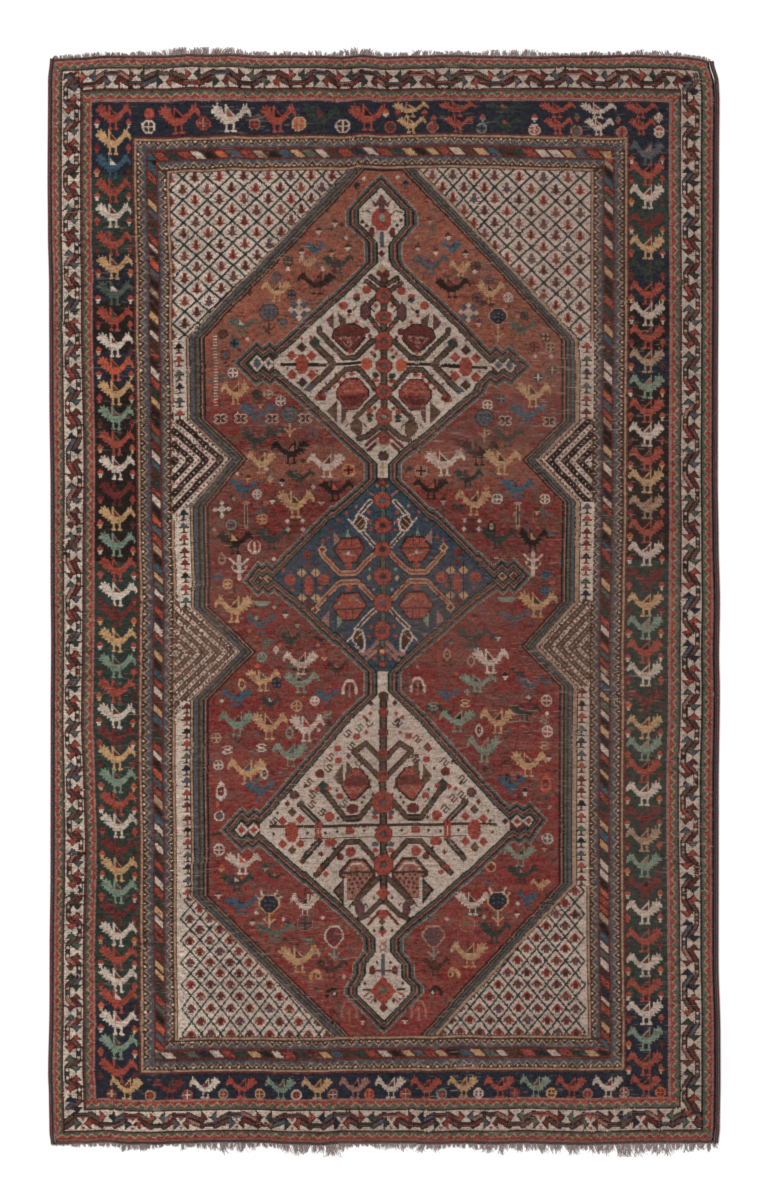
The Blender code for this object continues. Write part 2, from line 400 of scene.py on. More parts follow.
# Dyes of one joint between two cells: arrow heads, then the two threads. Every second joint is a red one.
RED_JOINTS = ("RMP", "MAM", "MRP", "RPM", "MPA", "RUM")
DARK_JOINTS = ("SPU", "GMP", "NPS", "SMI", "EPU", "GSP")


def arrow_border(outer, inner):
    """Hourglasses of ivory between arrow heads. u runs along the border and v across it, from 0 to 18."""
    chance = random.Random(31)
    for side, start, end, out_edge, in_edge in four_sides(outer, inner):
        places, turned = CELL_PLACES[side]
        ends = side in ("top", "bottom")
        if not ends:
            start, end = RINGS[outer][2], RINGS[outer][4]      # the sides run on into the corners
        middles = [float(v) for v in np.interp(range(places[-1][0] + 1), *np.array(places, float).T)]
        middles = [2 * middles[0] - middles[1]] + middles + [2 * middles[-1] - middles[-2]]
        for i in range(-1, len(middles) - 2):
            middle, far = middles[i + 1], middles[i + 2] - middles[i + 1]
            flipped = (i + turned) % 2

            def seen(points):
                return [place(side, min(max(middle + u, start + 1), end - 1), out_edge
                              + (in_edge - out_edge) * ((18 - v if flipped else v) / 18)) for u, v in points]

            heads, one, two = chance.choice(DARK_JOINTS if (i + (side == "top")) % 2 else RED_JOINTS)
            threads = (((6.6, 3.2), (far - 7.0, 9.4), one), ((7.0, 8.6), (far - 6.6, 14.8), two))
            arrows = (((0.4, 12), (7.9, 5.2), (7.2, 12), (7.9, 18.2)),
                      ((far - 0.4, 6), (far - 7.9, 12.8), (far - 7.2, 6), (far - 7.9, -0.2)))
            reach, edge = (8.5, 2.0) if ends else (6.4, 1.0)
            fill(seen([(-reach, edge), (reach, edge), (reach, edge + 4.8), (-reach, edge + 4.8)]), "K")
            for *thread, _ in threads:
                stroke(seen(thread), 5.6, "K")
            for points in arrows:
                fill(seen(points), "K")
            for *thread, dye in threads:
                stroke(seen(thread), 3.0, dye)
            for (tip_u, tip_v), (one_u, one_v), _, (two_u, two_v) in arrows:
                way = 1 if one_u > tip_u else -1
                fill(seen([(tip_u + way * 1.4, tip_v), (one_u - way * 0.2, one_v + way * 1.8),
                           (two_u - way * 0.2, two_v - way * 1.8)]), heads)
            if ends:
                stroke(seen([(-reach + 1, edge + 1.5), (reach - 1, edge + 1.5)]), 1.3, chance.choice("MRPU"))
                stroke(seen([(-reach + 1, edge + 3.5), (reach - 1, edge + 3.5)]), 1.2, chance.choice("GSPA"))
                if side == "bottom" and flipped:
                    for v in (8.0, 16.2):
                        fill(seen([(-2.2, v - 1.2), (2.2, v - 1.2), (0, v + 1.6)]), "R")
            else:
                for u, dyes in ((-4.0, "WWT"), (0, "RNMGS"), (4.0, "WTY")):
                    stroke(seen([(u - 0.1, edge + 2.4), (u + 0.1, edge + 2.4)]), 2.9, chance.choice(dyes))


arrow_border(5, 6)
odd_ends((("M", 0.3, "D"), ("R", 0.22, "M"), ("P", 0.2, "D"), ("W", 0.035, "T")), 41)
print("ivory border:", sum(places[-1][0] + 1 for places, _ in CELL_PLACES.values()), "units")

# %% [markdown]
# ## Birds
#
# The rug is full of birds: a V-shaped body with a toothed tail, a curved neck with a beaked head, small
# crests, an upright wing and two legs. One function draws them all from one outline, at any size, facing
# either way, in any dye.

# %% The bird
BIRD_WIDE = 36.0
BIRD_BODY = (
    (0, 4.6), (2.8, 4), (2, 0.6), (4.6, 2.4), (5.8, -0.8), (7.4, 2.8), (10, 2), (10.6, 6), (13.4, 10.4),
    (21, 10.6), (25, 7.4), (28.2, 3.2), (28.8, -0.4), (30.4, 1.8), (32, -0.8), (32.8, 2.4), (35, 4.4),
    (36.2, 8), (35.2, 11), (33.8, 8.8), (32.2, 7.2), (30.4, 8), (28.2, 9.6), (27.8, 11.8), (25.6, 12.4),
    (24.8, 14.8), (22.2, 15.2), (21, 17), (12, 17), (11.6, 14.6), (8.8, 15.4), (9, 12.4), (5.6, 13),
    (6.4, 10.2), (3, 10.4), (4.2, 7.8), (0.8, 7.4),
)
BIRD_WING = ((14.4, 3.2), (21.6, 10.8), (14.4, 10.8))
BIRD_LINES = (
    (((13.6, 1.4), (13.6, 12)), 1.5), (((14.6, 16.6), (14.6, 25.4)), 1.7),
    (((20.4, 16.6), (20.4, 25.4)), 1.7), (((13.2, 25.4), (16.6, 25.4)), 1.5),
    (((19, 25.4), (22.6, 25.4)), 1.5),
)


def bird(x, y, way, dye, wing="K", size=1.0, legs=1.0, squat=1.0):
    """A bird whose tail top stands at y. way is +1 for facing right and -1 for left; x is its left end."""
    def turned(points):
        out = []
        for px, py in points:
            px = px if way > 0 else BIRD_WIDE - px
            if py > 18:
                py = 18 + (py - 18) * legs
            out.append((x + px * size, y + py * size * squat))
        return out
    fill(turned(BIRD_BODY), dye)
    for points, width in BIRD_LINES:
        stroke(turned(points), width * size, dye)
    fill(turned(BIRD_WING), wing)
    stroke(turned(BIRD_WING[:2]), 1.1 * size, dye)


def bird_between(x0, y0, x1, y1, way, dye, wing):
    """A bird that fills the space from x0 to x1 and, with its feet, from y0 to y1."""
    size = (x1 - x0) / BIRD_WIDE
    bird(x0, y0, way, dye, wing, size, legs=0.7, squat=(y1 - y0) / (23.3 * size))


def bud(x, y, top, bottom):
    """A small flower bud, seven knots wide: a domed top on a forked foot."""
    fill([(x - 3.4, y), (x, y - 3.6), (x + 3.4, y), (x + 2.4, y + 1.2), (x - 2.4, y + 1.2)], top)
    fill([(x - 3.2, y + 1.2), (x + 3.2, y + 1.2), (x + 1.2, y + 3.2), (x + 1.2, y + 5.4), (x - 1.2, y + 5.4),
          (x - 1.2, y + 3.2)], bottom)


def ring_flower(x, y, radius, rim, inside, heart):
    """An eight-sided flower: a rim, a ground and a crossed heart."""
    for shrink, dye in ((0.0, rim), (1.4, inside)):
        r = radius - shrink
        turns = [math.pi * (k + 0.5) / 4 for k in range(8)]
        fill([(x + r * math.cos(turn) * 1.08, y + r * math.sin(turn) * 1.08) for turn in turns], dye)
    reach = radius - 1.8
    stroke([(x - reach, y), (x + reach, y)], 1.3, heart)
    stroke([(x, y - reach), (x, y + reach)], 1.3, heart)


print("bird outline of", len(BIRD_BODY), "points")

# %% [markdown]
# ## The bird border
#
# Down the sides the birds stand above one another, all facing the middle, with a bud on either side of each.
# Across the ends they walk in a line with flowers between them. The ground changes from navy to bottle green
# and back, where the weaver ran out of one lot of wool.

# %% Bird border
SIDE_GROUND = ((101, "N"), (172, "G"), (250, "N"), (300, "K"), (350, "N"), (385, "K"), (560, "G"),
               (1000, "N"))
LEFT_BIRDS = (
    (103, "R"), (127, "Y"), (151, "B"), (175, "R"), (200, "W"), (228, "R"), (252, "Y"), (278, "E"),
    (304, "R"), (330, "W"), (354, "O"), (378, "Y"), (403, "L"), (428, "R"), (453, "W"), (479, "M"),
    (504, "Y"), (530, "L"), (555, "R"), (580, "W"), (601, "M"), (626, "Y"), (652, "L"), (677, "R"),
    (702, "W"), (724, "M"), (744, "Y"), (767, "L"), (790, "R"), (812, "W"), (836, "M"), (856, "Y"),
    (878, "L"), (900, "M"), (921, "W"), (945, "R"), (967, "W"), (988, "R"), (1010, "W"), (1034, "L"),
    (1058, "R"),
)
RIGHT_BIRDS = (
    (139, "S"), (159, "R"), (182, "W"), (210, "M"), (233, "Y"), (256, "G"), (279, "R"), (300, "W"),
    (323, "R"), (347, "T"), (373, "L"), (397, "R"), (421, "W"), (446, "R"), (468, "Y"), (494, "T"),
    (518, "R"), (541, "W"), (567, "M"), (592, "Y"), (615, "L"), (639, "R"), (662, "W"), (688, "M"),
    (715, "Y"), (737, "L"), (759, "R"), (782, "W"), (806, "M"), (828, "T"), (854, "L"), (877, "M"),
    (901, "W"), (929, "R"), (954, "W"), (979, "R"), (1002, "W"), (1028, "L"), (1053, "R"),
)
BUD_DYES = ("RW", "MR", "OY", "RW", "RR", "DM", "RY")
TOP_BIRDS = ((162, 203, "R"), (213, 253, "W"), (262, 297, "R"), (304, 340, "G"), (348, 388, "R"))
TOP_PAIRS = ((391, "Y"), (437, "R"), (484, "G"), (535, "R"), (575, "W"), (619, "R"))
TOP_FLOWERS = (             # x, y, radius, and the dyes of rim, ground and heart
    (153, 112, 5, "ROR"), (152.5, 124.5, 6.4, "WDW"), (206, 122.5, 6.6, "RMA"), (256.5, 123.5, 6, "AMR"),
    (300, 123.5, 6.8, "YOT"), (343, 125.5, 6.8, "WDW"), (389.5, 127, 6, "RMG"), (431, 128, 5.6, "APR"),
    (479, 129, 5.4, "LSN"), (531, 129.5, 6, "WRW"), (572, 130.5, 5.6, "IPE"), (617, 130.5, 5.6, "ARM"),
    (655.5, 116, 4.6, "WAW"), (656.5, 130, 5.6, "WRW"),
)
TOP_BUDS = ((385, 112, "OW"), (432, 119, "RM"), (480, 118, "RL"), (531, 117, "RW"), (572.5, 116, "ER"),
            (613, 118, "ER"), (397, 112, "RM"), (423, 113, "RM"))
BOTTOM_BIRDS = ((108, "Y"), (149, "M"), (185, "W"), (222, "R"), (261, "L"), (298, "Y"), (336, "I"),
                (372, "W"), (408, "R"), (445, "Y"), (482, "R"), (518, "L"), (554, "R"), (591, "W"),
                (629, "R"))
BOTTOM_FLOWERS = "MTRLYWIORLWMYATO"


def bird_border():
    left, _, right, bottom = RINGS[10][1:]
    left_in, _, right_in, _ = RINGS[11][1:]
    for (y, dye), following in zip(SIDE_GROUND, SIDE_GROUND[1:] + ((bottom, "N"),)):
        block(left, y, left_in, following[0], dye)
        block(right_in, y, right, following[0], dye)
    for way, birds, x in ((1, LEFT_BIRDS, 98.0), (-1, RIGHT_BIRDS, 626.0)):
        for i, (y, dye) in enumerate(birds):
            wing = "AMMRM"[i % 5] if dye in "WLYST" else "DKWGE"[i % 5]
            bird_between(x, y, x + 36.5, y + 24, way, dye, wing)
            for k, bud_x in enumerate((x + 1.5, x + 34.0)):
                bud(bud_x, y + 17.5, *BUD_DYES[(i + k * 3) % 7])
    for x0, x1, dye in TOP_BIRDS:
        bird_between(x0, 104, x1, 131, 1, dye, {"R": "K", "W": "R", "G": "M"}[dye])
    for x, dye in TOP_PAIRS:
        for shift, y0, y1 in ((0, 102, 117), (5, 117, 133)):
            bird_between(x + shift, y0, x + 36 - shift / 2, y1, 1, dye, "R" if dye in "WG" else "M")
    for x, y, radius, dyes in TOP_FLOWERS:
        ring_flower(x, y, radius, *dyes)
    for x, y, dyes in TOP_BUDS:
        bud(x, y, *dyes)
    for i, (x, dye) in enumerate(BOTTOM_BIRDS):
        bird_between(x, 1077, x + 31, 1098, -1, dye, "M" if dye in "YLW" else "DGKN"[i % 4])
    for i, dye in enumerate(BOTTOM_FLOWERS):
        ring_flower(109 + i * 36.7, 1094.5, 5.2, dye, "M" if dye not in "MR" else "P", "YRWO"[i % 4])


bird_border()
print("bird border stamped")

# %% [markdown]
# ## The field, its ivory corners and side notches
#
# The red field has slanting corners and two notches down each side. One outline gives all of that. What lies
# outside it is ivory, with a lattice of small plants in the corners, chevrons in the notches and a string of
# buds between them. The stripes round the field are rings grown outwards from the outline, knot by knot.

# %% Field outline
FIELD_OUTLINE = (
    (364, 172), (206, 335.6), (205.5, 415.8), (247.3, 458), (208.3, 504), (207.3, 605.5), (255, 651),
    (207, 698.6), (206.4, 895), (349, 1037), (415.3, 1038), (557.5, 884.8), (558, 686.3), (520, 647),
    (559, 601), (558.6, 501), (519, 460.6), (558.4, 419.6), (557.2, 339.4), (401.2, 172),
)
CHECK = 4.4               # knots from one check of the chevrons to the next
# Stripes from the field outwards, a letter for each knot: on the left half, and on the right half
FIELD_STRIPES = "KKPAKKEEUDDSSSSKTTK", "KKPAKKEEDDSSSKTTTTK"
LEFT_NOTCHES = ((416, 458, 504, 230), (605.5, 651, 698.6, 238))
RIGHT_NOTCHES = ((419.6, 460.6, 501, 537), (601, 647, 686, 537))
UPPER_PLANT = (
    "......S......",
    ".....RSR.....",
    "....RRSRR....",
    "....RSSSR....",
    "....RSSSR....",
    ".RA.RSSSR.AR.",
    ".RRARSSSRARR.",
    "..RRRSSSRRR..",
    "...RRSSSRR...",
    "..RRSSSSSRR..",
    ".RRRSSSSSRRR.",
    "....RRRRR....",
    ".....RRR.....",
    "......R......",
)
LOWER_PLANT = (
    "......R......",
    ".....RRR.....",
    "....RRMRR....",
    "...RRMMMRR...",
    "..RRMMSMMRR..",
    ".RRMMSSSMMRR.",
    "RRRMMSSSMMRRR",
    "RRRRMSSSMRRRR",
    "RR..RSSSR..RR",
    "RR..MSSSM..RR",
    "...RMSSSMR...",
    "...RRRRRRR...",
)
# Each corner's lattice: places of its columns and rows, as pairs of count and square
UPPER_LEFT = (((-2, 364), (0, 343), (6, 282), (12, 210), (16, 162)), ((-2, 153), (0, 175), (16, 354)), 1)
UPPER_RIGHT = (((-2, 411), (0, 431), (6, 492), (12, 564), (16, 612)),
               ((-2, 153), (0, 176.5), (11, 305), (16, 361)), 0)
LOWER_LEFT = (((-3, 177.5), (0, 207), (20, 404)),
              ((-4, 872), (0, 917), (7, 994.5), (10, 1033), (12, 1058)), 0)
LOWER_RIGHT = (((-3, 584), (0, 555), (20, 361)), ((-4, 869), (0, 914), (10, 1033), (12, 1058)), 0)
SHADE_BUD = (
    "....a....",
    "...aaa...",
    "..aaaaa..",
    "KaaaaaaaK",
    "KKKaaaKKK",
    "....b....",
    "....b....",
    "...bbb...",
    ".bbbbbbb.",
)


def lattice(outline, columns, rows, odd, plant, size, thick):
    """Crossing lines inside an outline, with a small plant in every diamond between them."""
    mask = whole_mask(outline)
    saved = chart.copy()

    def place_of(i, j):
        return tuple(float(np.interp(n, *np.array(line, float).T)) for n, line in ((i, columns), (j, rows)))

    for i in range(columns[0][0], columns[-1][0]):
        for j in range(rows[0][0], rows[-1][0]):
            if (i + j) % 2 != odd:
                x, y = place_of(i, j)
                for reach in (-1, 1):
                    if rows[0][0] <= j + reach <= rows[-1][0]:
                        stroke([(x, y), place_of(i + 1, j + reach)], thick, "N" if (i * j) % 3 else "G")
    for i in range(columns[0][0] + 1, columns[-1][0]):
        for j in range(rows[0][0] + 1, rows[-1][0]):
            x, y = place_of(i, j)
            if (i + j) % 2 == odd and mask[min(int(y), PAPER_HIGH - 1), int(x)]:
                stamp(plant, x - size[0] / 2, y - size[1] / 2, *size,
                      {"S": "SDMDU"[(i * 2 + j) % 5], "R": "RMPR"[(i + 3 * j) % 4]})
    chart[~mask] = saved[~mask]


def chevrons(first, apex_y, last, tip, foot, wide, dark):
    """Nested arrows of chequered ivory and dark bands, parted by thin dark lines, in a notch."""
    deep = abs(tip - foot)
    way = 1 if tip > foot else -1
    for n in range(int(deep / wide) + 1):
        shift = 2.0 + n * wide
        rise = shift / deep
        points = [(foot, first + rise * (apex_y - first)), (tip - way * shift, apex_y),
                  (foot, last - rise * (last - apex_y))]
        stroke(points, wide - 1.0, "D")
        stroke(points, wide - 3.0, dark if n % 2 else "W")
        for (ax, ay), (bx, by) in zip(points, points[1:]):
            length = max(math.hypot(bx - ax, by - ay), 1)
            for k in range(int(length / CHECK) + 1):
                x, y = ax + (bx - ax) * k * CHECK / length, ay + (by - ay) * k * CHECK / length
                if n % 2:
                    speck(x, y, "AWI"[k % 3], 2.2)
                elif k % 2:
                    speck(x, y, "R", 3.0)
                else:
                    speck(x, y, "D" if k % 4 else "M", 3.0)


def paint_field():
    left, top, right, bottom = RINGS[20][1:]
    block(left, top, right, bottom, "W")
    for x, y, near, far, last, places, plant, size, thick in (
            (left, top, 352, 190, 337, UPPER_LEFT, UPPER_PLANT, (12, 13), 2.1),
            (right, top, 414, 575, 341, UPPER_RIGHT, UPPER_PLANT, (12, 13), 2.1),
            (left, bottom, 344, 196, 893, LOWER_LEFT, LOWER_PLANT, (10.4, 10), 1.7),
            (right, bottom, 426, 570, 884, LOWER_RIGHT, LOWER_PLANT, (11, 10.4), 1.9)):
        lattice([(x, y), (near, y), (far, last), (x, last)], *places, plant, size, thick)
    for foot, notches in ((174, LEFT_NOTCHES), (587, RIGHT_NOTCHES)):
        for first, apex_y, last, tip in notches:
            fill([(foot, first - 14), (tip, apex_y), (foot, last + 14)], "K")
            chevrons(first - 12, apex_y, last + 12, tip, foot, *((7.5, "K") if apex_y < 500 else (6.4, "U")))
    strips = ((180.0, 345, 412), (183.4, 512, 600), (184.6, 706, 892), (583.4, 346, 412), (584.0, 507, 594),
              (581.0, 692, 880))
    pale = (("K", "M"), ("N", "D"), ("M", "M"), ("R", "M"), ("S", "D"), ("M", "R"), ("E", "D"), ("R", "D"))
    for strip, (x, first, last) in enumerate(strips):
        block(x - 6.5, first - 6, x + 7, last + 6, "W")
        count = round((last - first) / 12.3)
        for i in range(count + 1):
            top_dye, foot_dye = pale[(i * 3 + strip) % 8]
            y = first + (last - first) * i / count
            stamp(SHADE_BUD, x - 5, y - 5, 10, 11, {"a": top_dye, "b": foot_dye})
    field = whole_mask(FIELD_OUTLINE)
    mask = field
    room = np.zeros(chart.shape, bool)
    room[round(top):round(bottom), round(left):round(right)] = True
    left_half = np.arange(PAPER_WIDE)[None, :] < 382
    for left_dye, right_dye in zip(*FIELD_STRIPES):
        wider = grown(mask, 1)
        ring = wider & ~mask & room
        chart[ring & left_half] = CODES[left_dye]
        chart[ring & ~left_half] = CODES[right_dye]
        mask = wider
    chart[field & room] = CODES["F"]


paint_field()
print("field painted, stripes", len(FIELD_STRIPES[0]), "knots wide")

# %% [markdown]
# ## The three medallions
#
# The medallions hang on one another by narrow necks. One outline runs round all three. Its stripes are rings
# too, this time shrunk inwards. The ground inside is ivory in the upper and lower medallion and blue in the
# middle one.

# %% Medallion outline
MEDALLION_OUTLINE = (
    (381, 173), (345, 211), (345, 224), (363, 244), (363, 264), (299, 322), (297, 325), (275, 344),
    (270, 339), (263, 344.5), (256.5, 338.5), (233, 362.5), (256, 385.5), (262.5, 380), (269.5, 386),
    (275, 381), (282.5, 387), (335, 437.5), (338, 440.5), (362.5, 464.5), (362.5, 480), (332, 505),
    (329.5, 505.5), (288, 547), (285, 548), (270, 565), (265, 559), (260, 564), (256, 559), (240, 580),
    (255.5, 596), (260.5, 591), (265.5, 596), (271.5, 591), (287.5, 605), (290.5, 606), (331.5, 645),
    (334.5, 645.5), (362.5, 673), (362.5, 695), (347.5, 708), (344.5, 710), (258, 810), (252, 806),
    (246, 811), (240, 805), (217, 829.5), (239.5, 852), (244.5, 847), (250.5, 851), (256.5, 845),
    (300, 883), (303, 884), (337, 914.5), (340, 917), (360, 938.5), (360, 952.5), (350, 965), (349.5, 975),
    (340.5, 989), (341, 994), (381, 1034), (422.5, 993.5), (422.5, 988.5), (413, 978), (413, 966),
    (402.5, 953), (402.5, 939), (429.5, 916.5), (432.5, 914.5), (463, 888), (466, 886), (506.5, 847),
    (512.5, 843), (518.5, 847), (525.5, 842), (529.5, 846), (547.5, 820.5), (529.5, 802), (522.5, 807),
    (516.5, 802), (508.5, 807), (470, 766.5), (423.5, 713), (420.5, 711), (400.5, 692), (400.5, 673),
    (432.5, 644), (435.5, 643), (474, 607.5), (477, 606), (496, 591), (501, 596), (507, 591), (513, 596),
    (530, 576.5), (512, 558), (506, 564), (500, 559), (492, 566), (477, 552), (474, 551.5), (431, 509),
    (428, 508), (400, 480), (400, 464), (429, 442), (432, 439), (483.5, 394), (487.5, 385), (493.5, 389),
    (500.5, 383), (508, 387.5), (529.5, 366.5), (505.5, 345), (500, 351), (493, 345), (487.5, 351),
    (470.5, 332.5), (467.5, 328.5), (404.5, 267), (401.5, 261), (401.5, 244), (417.5, 225.5),
    (417.5, 213.5),
)
MEDALLION_STRIPES = "TSSEKKPAMDEEKK"      # from the outline inwards


def paint_medallions():
    mask = whole_mask(MEDALLION_OUTLINE)
    for dye in MEDALLION_STRIPES:
        smaller = shrunk(mask, 1)
        chart[mask & ~smaller] = CODES[dye]
        mask = smaller
    rows = np.arange(PAPER_HIGH)[:, None]
    middle = mask & (rows > 478) & (rows < 672)
    chart[mask & ~middle] = CODES["W"]
    chart[middle] = CODES["C"]
    return mask


ground = paint_medallions()
print("medallion ground:", int(ground.sum()), "knots")

# %% [markdown]
# ## Figures inside the medallions
#
# The weaver mirrored the figures about the stem. So each medallion has a plan of one half: every entry has
# a kind and a dye, a size, and places given as the distance from the middle line and the row. A bar is a
# thick line and a shape is an outline, and an entry can have several of them. A spot is an eight-sided
# patch, and a gem is a diamond.

# %% Plan drawing


def octagon(x, y, wide, high, dye):
    a, b = wide / 2, high / 2
    fill([(x - a * 0.45, y - b), (x + a * 0.45, y - b), (x + a, y - b * 0.45), (x + a, y + b * 0.45),
          (x + a * 0.45, y + b), (x - a * 0.45, y + b), (x - a, y + b * 0.45), (x - a, y - b * 0.45)], dye)


def gem(x, y, wide, high, dye):
    fill([(x - wide / 2, y), (x, y - high / 2), (x + wide / 2, y), (x, y + high / 2)], dye)


def draw_plan(plan, axis, lean=0.0):
    """Draws a plan on both sides of its stem. With a lean, one side stands a little higher than the other."""
    drawn = []
    for look, size, *outlines in plan:
        kind, dye = look.split()
        for points in outlines:
            for way in (-1, 1):
                placed = [(axis + way * dx, y + way * lean * dx) for dx, y in points]
                drawn.append((kind, dye, size, placed))
                if kind == "bar" and dye in "UGT":      # the branches' dark edges lie under everything else
                    stroke(placed, size + 1.8, "K")
    for kind, dye, size, placed in drawn:
        wide, high = size if isinstance(size, tuple) else (size, size)
        if kind == "bar":
            stroke(placed, wide - 0.4 if dye in "UGT" else wide, dye)
        elif kind == "shape":
            if size:
                stroke(placed + placed[:1], 2 * size, "W")
            fill(placed, dye)
        else:
            for x, y in placed:
                (octagon if kind == "spot" else gem)(x, y, wide, high, dye)


def stem(axis, top, bottom, dye, wide=5.0):
    block(axis - wide / 2 - 1, top, axis + wide / 2 + 1, bottom, "K")
    block(axis - wide / 2, top, axis + wide / 2, bottom, dye)


def rosettes(axis, table):
    """The flowers on the stem. Each is a row, a width, a height, and the dyes of petals and heart."""
    for y, across, tall, (petal, heart) in table:
        octagon(axis, y, across + 1.6, tall + 1.6, "D")
        octagon(axis, y, across, tall, petal)
        octagon(axis, y, 7, 7, "M")
        octagon(axis, y, 4.6, 4.6, heart)


FIRST_PLAN = (
    ("bar U", 3.4, ((0, 289), (19, 312), (0, 336)), ((3, 285), (13, 278))),
    ("shape D", 0, ((12, 309), (18, 302), (23, 308), (23, 318), (19, 323), (13, 318))),
    ("bar U", 3.6, ((6, 291), (17, 283))),
    ("bar U", 4, ((6, 341.5), (11, 342), (27, 358.5), (39, 358.5), (63, 333.5), (63.5, 330)), ((5, 391),
     (9, 389), (25, 370), (38, 370), (64, 397))), ("bar K", 3, ((22, 364.4), (50, 364.4))),
    ("bar U", 5, ((52, 361), (70, 344))), ("bar U", 4.6, ((52, 368), (74, 390))),
    ("shape G", 0, ((62, 342), (68, 337), (73, 343), (67, 349))),
    ("shape S", 0, ((68, 386), (74, 385), (80, 391), (73, 394))), ("spot M", (10, 8), ((62, 398),)),
    ("shape K", 2, ((28, 324), (39, 324), (49, 329), (52, 338), (36, 353.5), (29, 353.5), (17.5, 340),
     (20, 330)), ((25, 379), (38, 379), (47.5, 390), (47.5, 398), (37, 411), (26, 411), (14.5, 398),
     (14.5, 391))),
    ("shape M", 0, ((29, 325.5), (38, 325.5), (47.5, 330), (50.5, 337.5), (35, 352), (30, 352), (19, 339),
     (21, 331))), ("bar I", 1.2, ((44, 338), (35, 348), (24, 338), (44, 338))),
    ("bar D", 1.1, ((22, 335), (48, 335))), ("bar A", 1.3, ((34, 339), (36, 343), (31, 343), (34, 339))),
    ("gem R", 6, ((33, 352.5),)),
    ("shape R", 0, ((25, 380.5), (38, 380.5), (46, 391), (46, 397), (36, 409.5), (26, 409.5), (16, 397),
     (16, 392))), ("bar I", 1.2, ((42, 391), (36, 384), (26, 384), (19, 392), (42, 392))),
    ("shape M", 0, ((45, 396), (17, 396), (26, 408), (36, 408))), ("gem A", 4, ((31, 387),)),
    ("gem R", (9, 5), ((32, 375),)),
    ("shape U", 0, ((49, 360), (57, 364.5), (49, 369), (46, 364.5)), ((45.5, 313), (37, 320), (37, 325),
     (43, 328)), ((46, 401), (57, 412), (46, 424)), ((34, 425), (27, 418), (21, 424), (21, 434),
     (25, 439), (33, 431))),
    ("shape P", 0, ((13.4, 310), (18, 304), (21.6, 309), (21.6, 317), (18.4, 321), (14, 317)), ((49, 313),
     (57, 321), (54, 327), (49, 331)), ((42, 404), (36, 409), (38, 420), (42, 424))),
    ("bar U", 4.2, ((6, 397), (28, 419)), ((4, 427), (17, 438), (25, 440))),
    ("bar M", 3.4, ((4, 434), (18, 447))), ("bar M", 3, ((8, 444), (16, 452))),
    ("bar K", 1.3, ((36, 425), (38, 427)), ((20, 425), (17, 428)), ((27, 308), (30, 311)), ((13, 309),
     (9, 313))), ("spot R", 8.5, ((17, 291.5), (40, 306))), ("spot O", (11.5, 12), ((17, 365.4),)),
    ("gem R", 5, ((60, 396), (66, 400), (71, 339), (8, 306.5), (8, 326), (12, 354), (8, 350), (39, 377),
     (44, 383), (50, 388), (34, 316), (27, 323))), ("gem D", 5, ((8, 301), (9, 357))),
    ("spot R", (7, 5), ((27, 297), (14, 412), (8, 381))),
    ("spot G", (7, 4.6), ((27, 300.5), (14, 417), (8, 376))), ("spot K", (5, 4), ((14, 421), (33.5, 312))),
    ("spot M", (6.5, 7), ((17, 332),)), ("gem M", 5, ((13, 337.5), (9, 408.5),)),
    ("gem D", 3, ((19, 284.5), (60, 351), (48, 375), (58, 384))), ("spot R", (13, 19), ((81, 366),)),
    ("bar K", 3.4, ((88, 366), (101, 366)), ((58, 366), (74, 366))),
    ("gem R", 11, ((71, 357), (91, 357), (71, 376), (91, 376))), ("gem D", 11, ((81, 349), (81, 384))),
    ("gem R", 4, ((67, 372), (95, 370), (81, 340))),
)
FIRST_ROSETTES = (
    (296, 14, 15, "RE"), (318, 14.5, 12, "RE"), (342, 15.5, 17, "RS"), (366.5, 15, 13, "RS"),
    (392, 15, 14, "RS"), (417, 14, 17, "RL"), (440, 9.6, 9, "RR"),
)
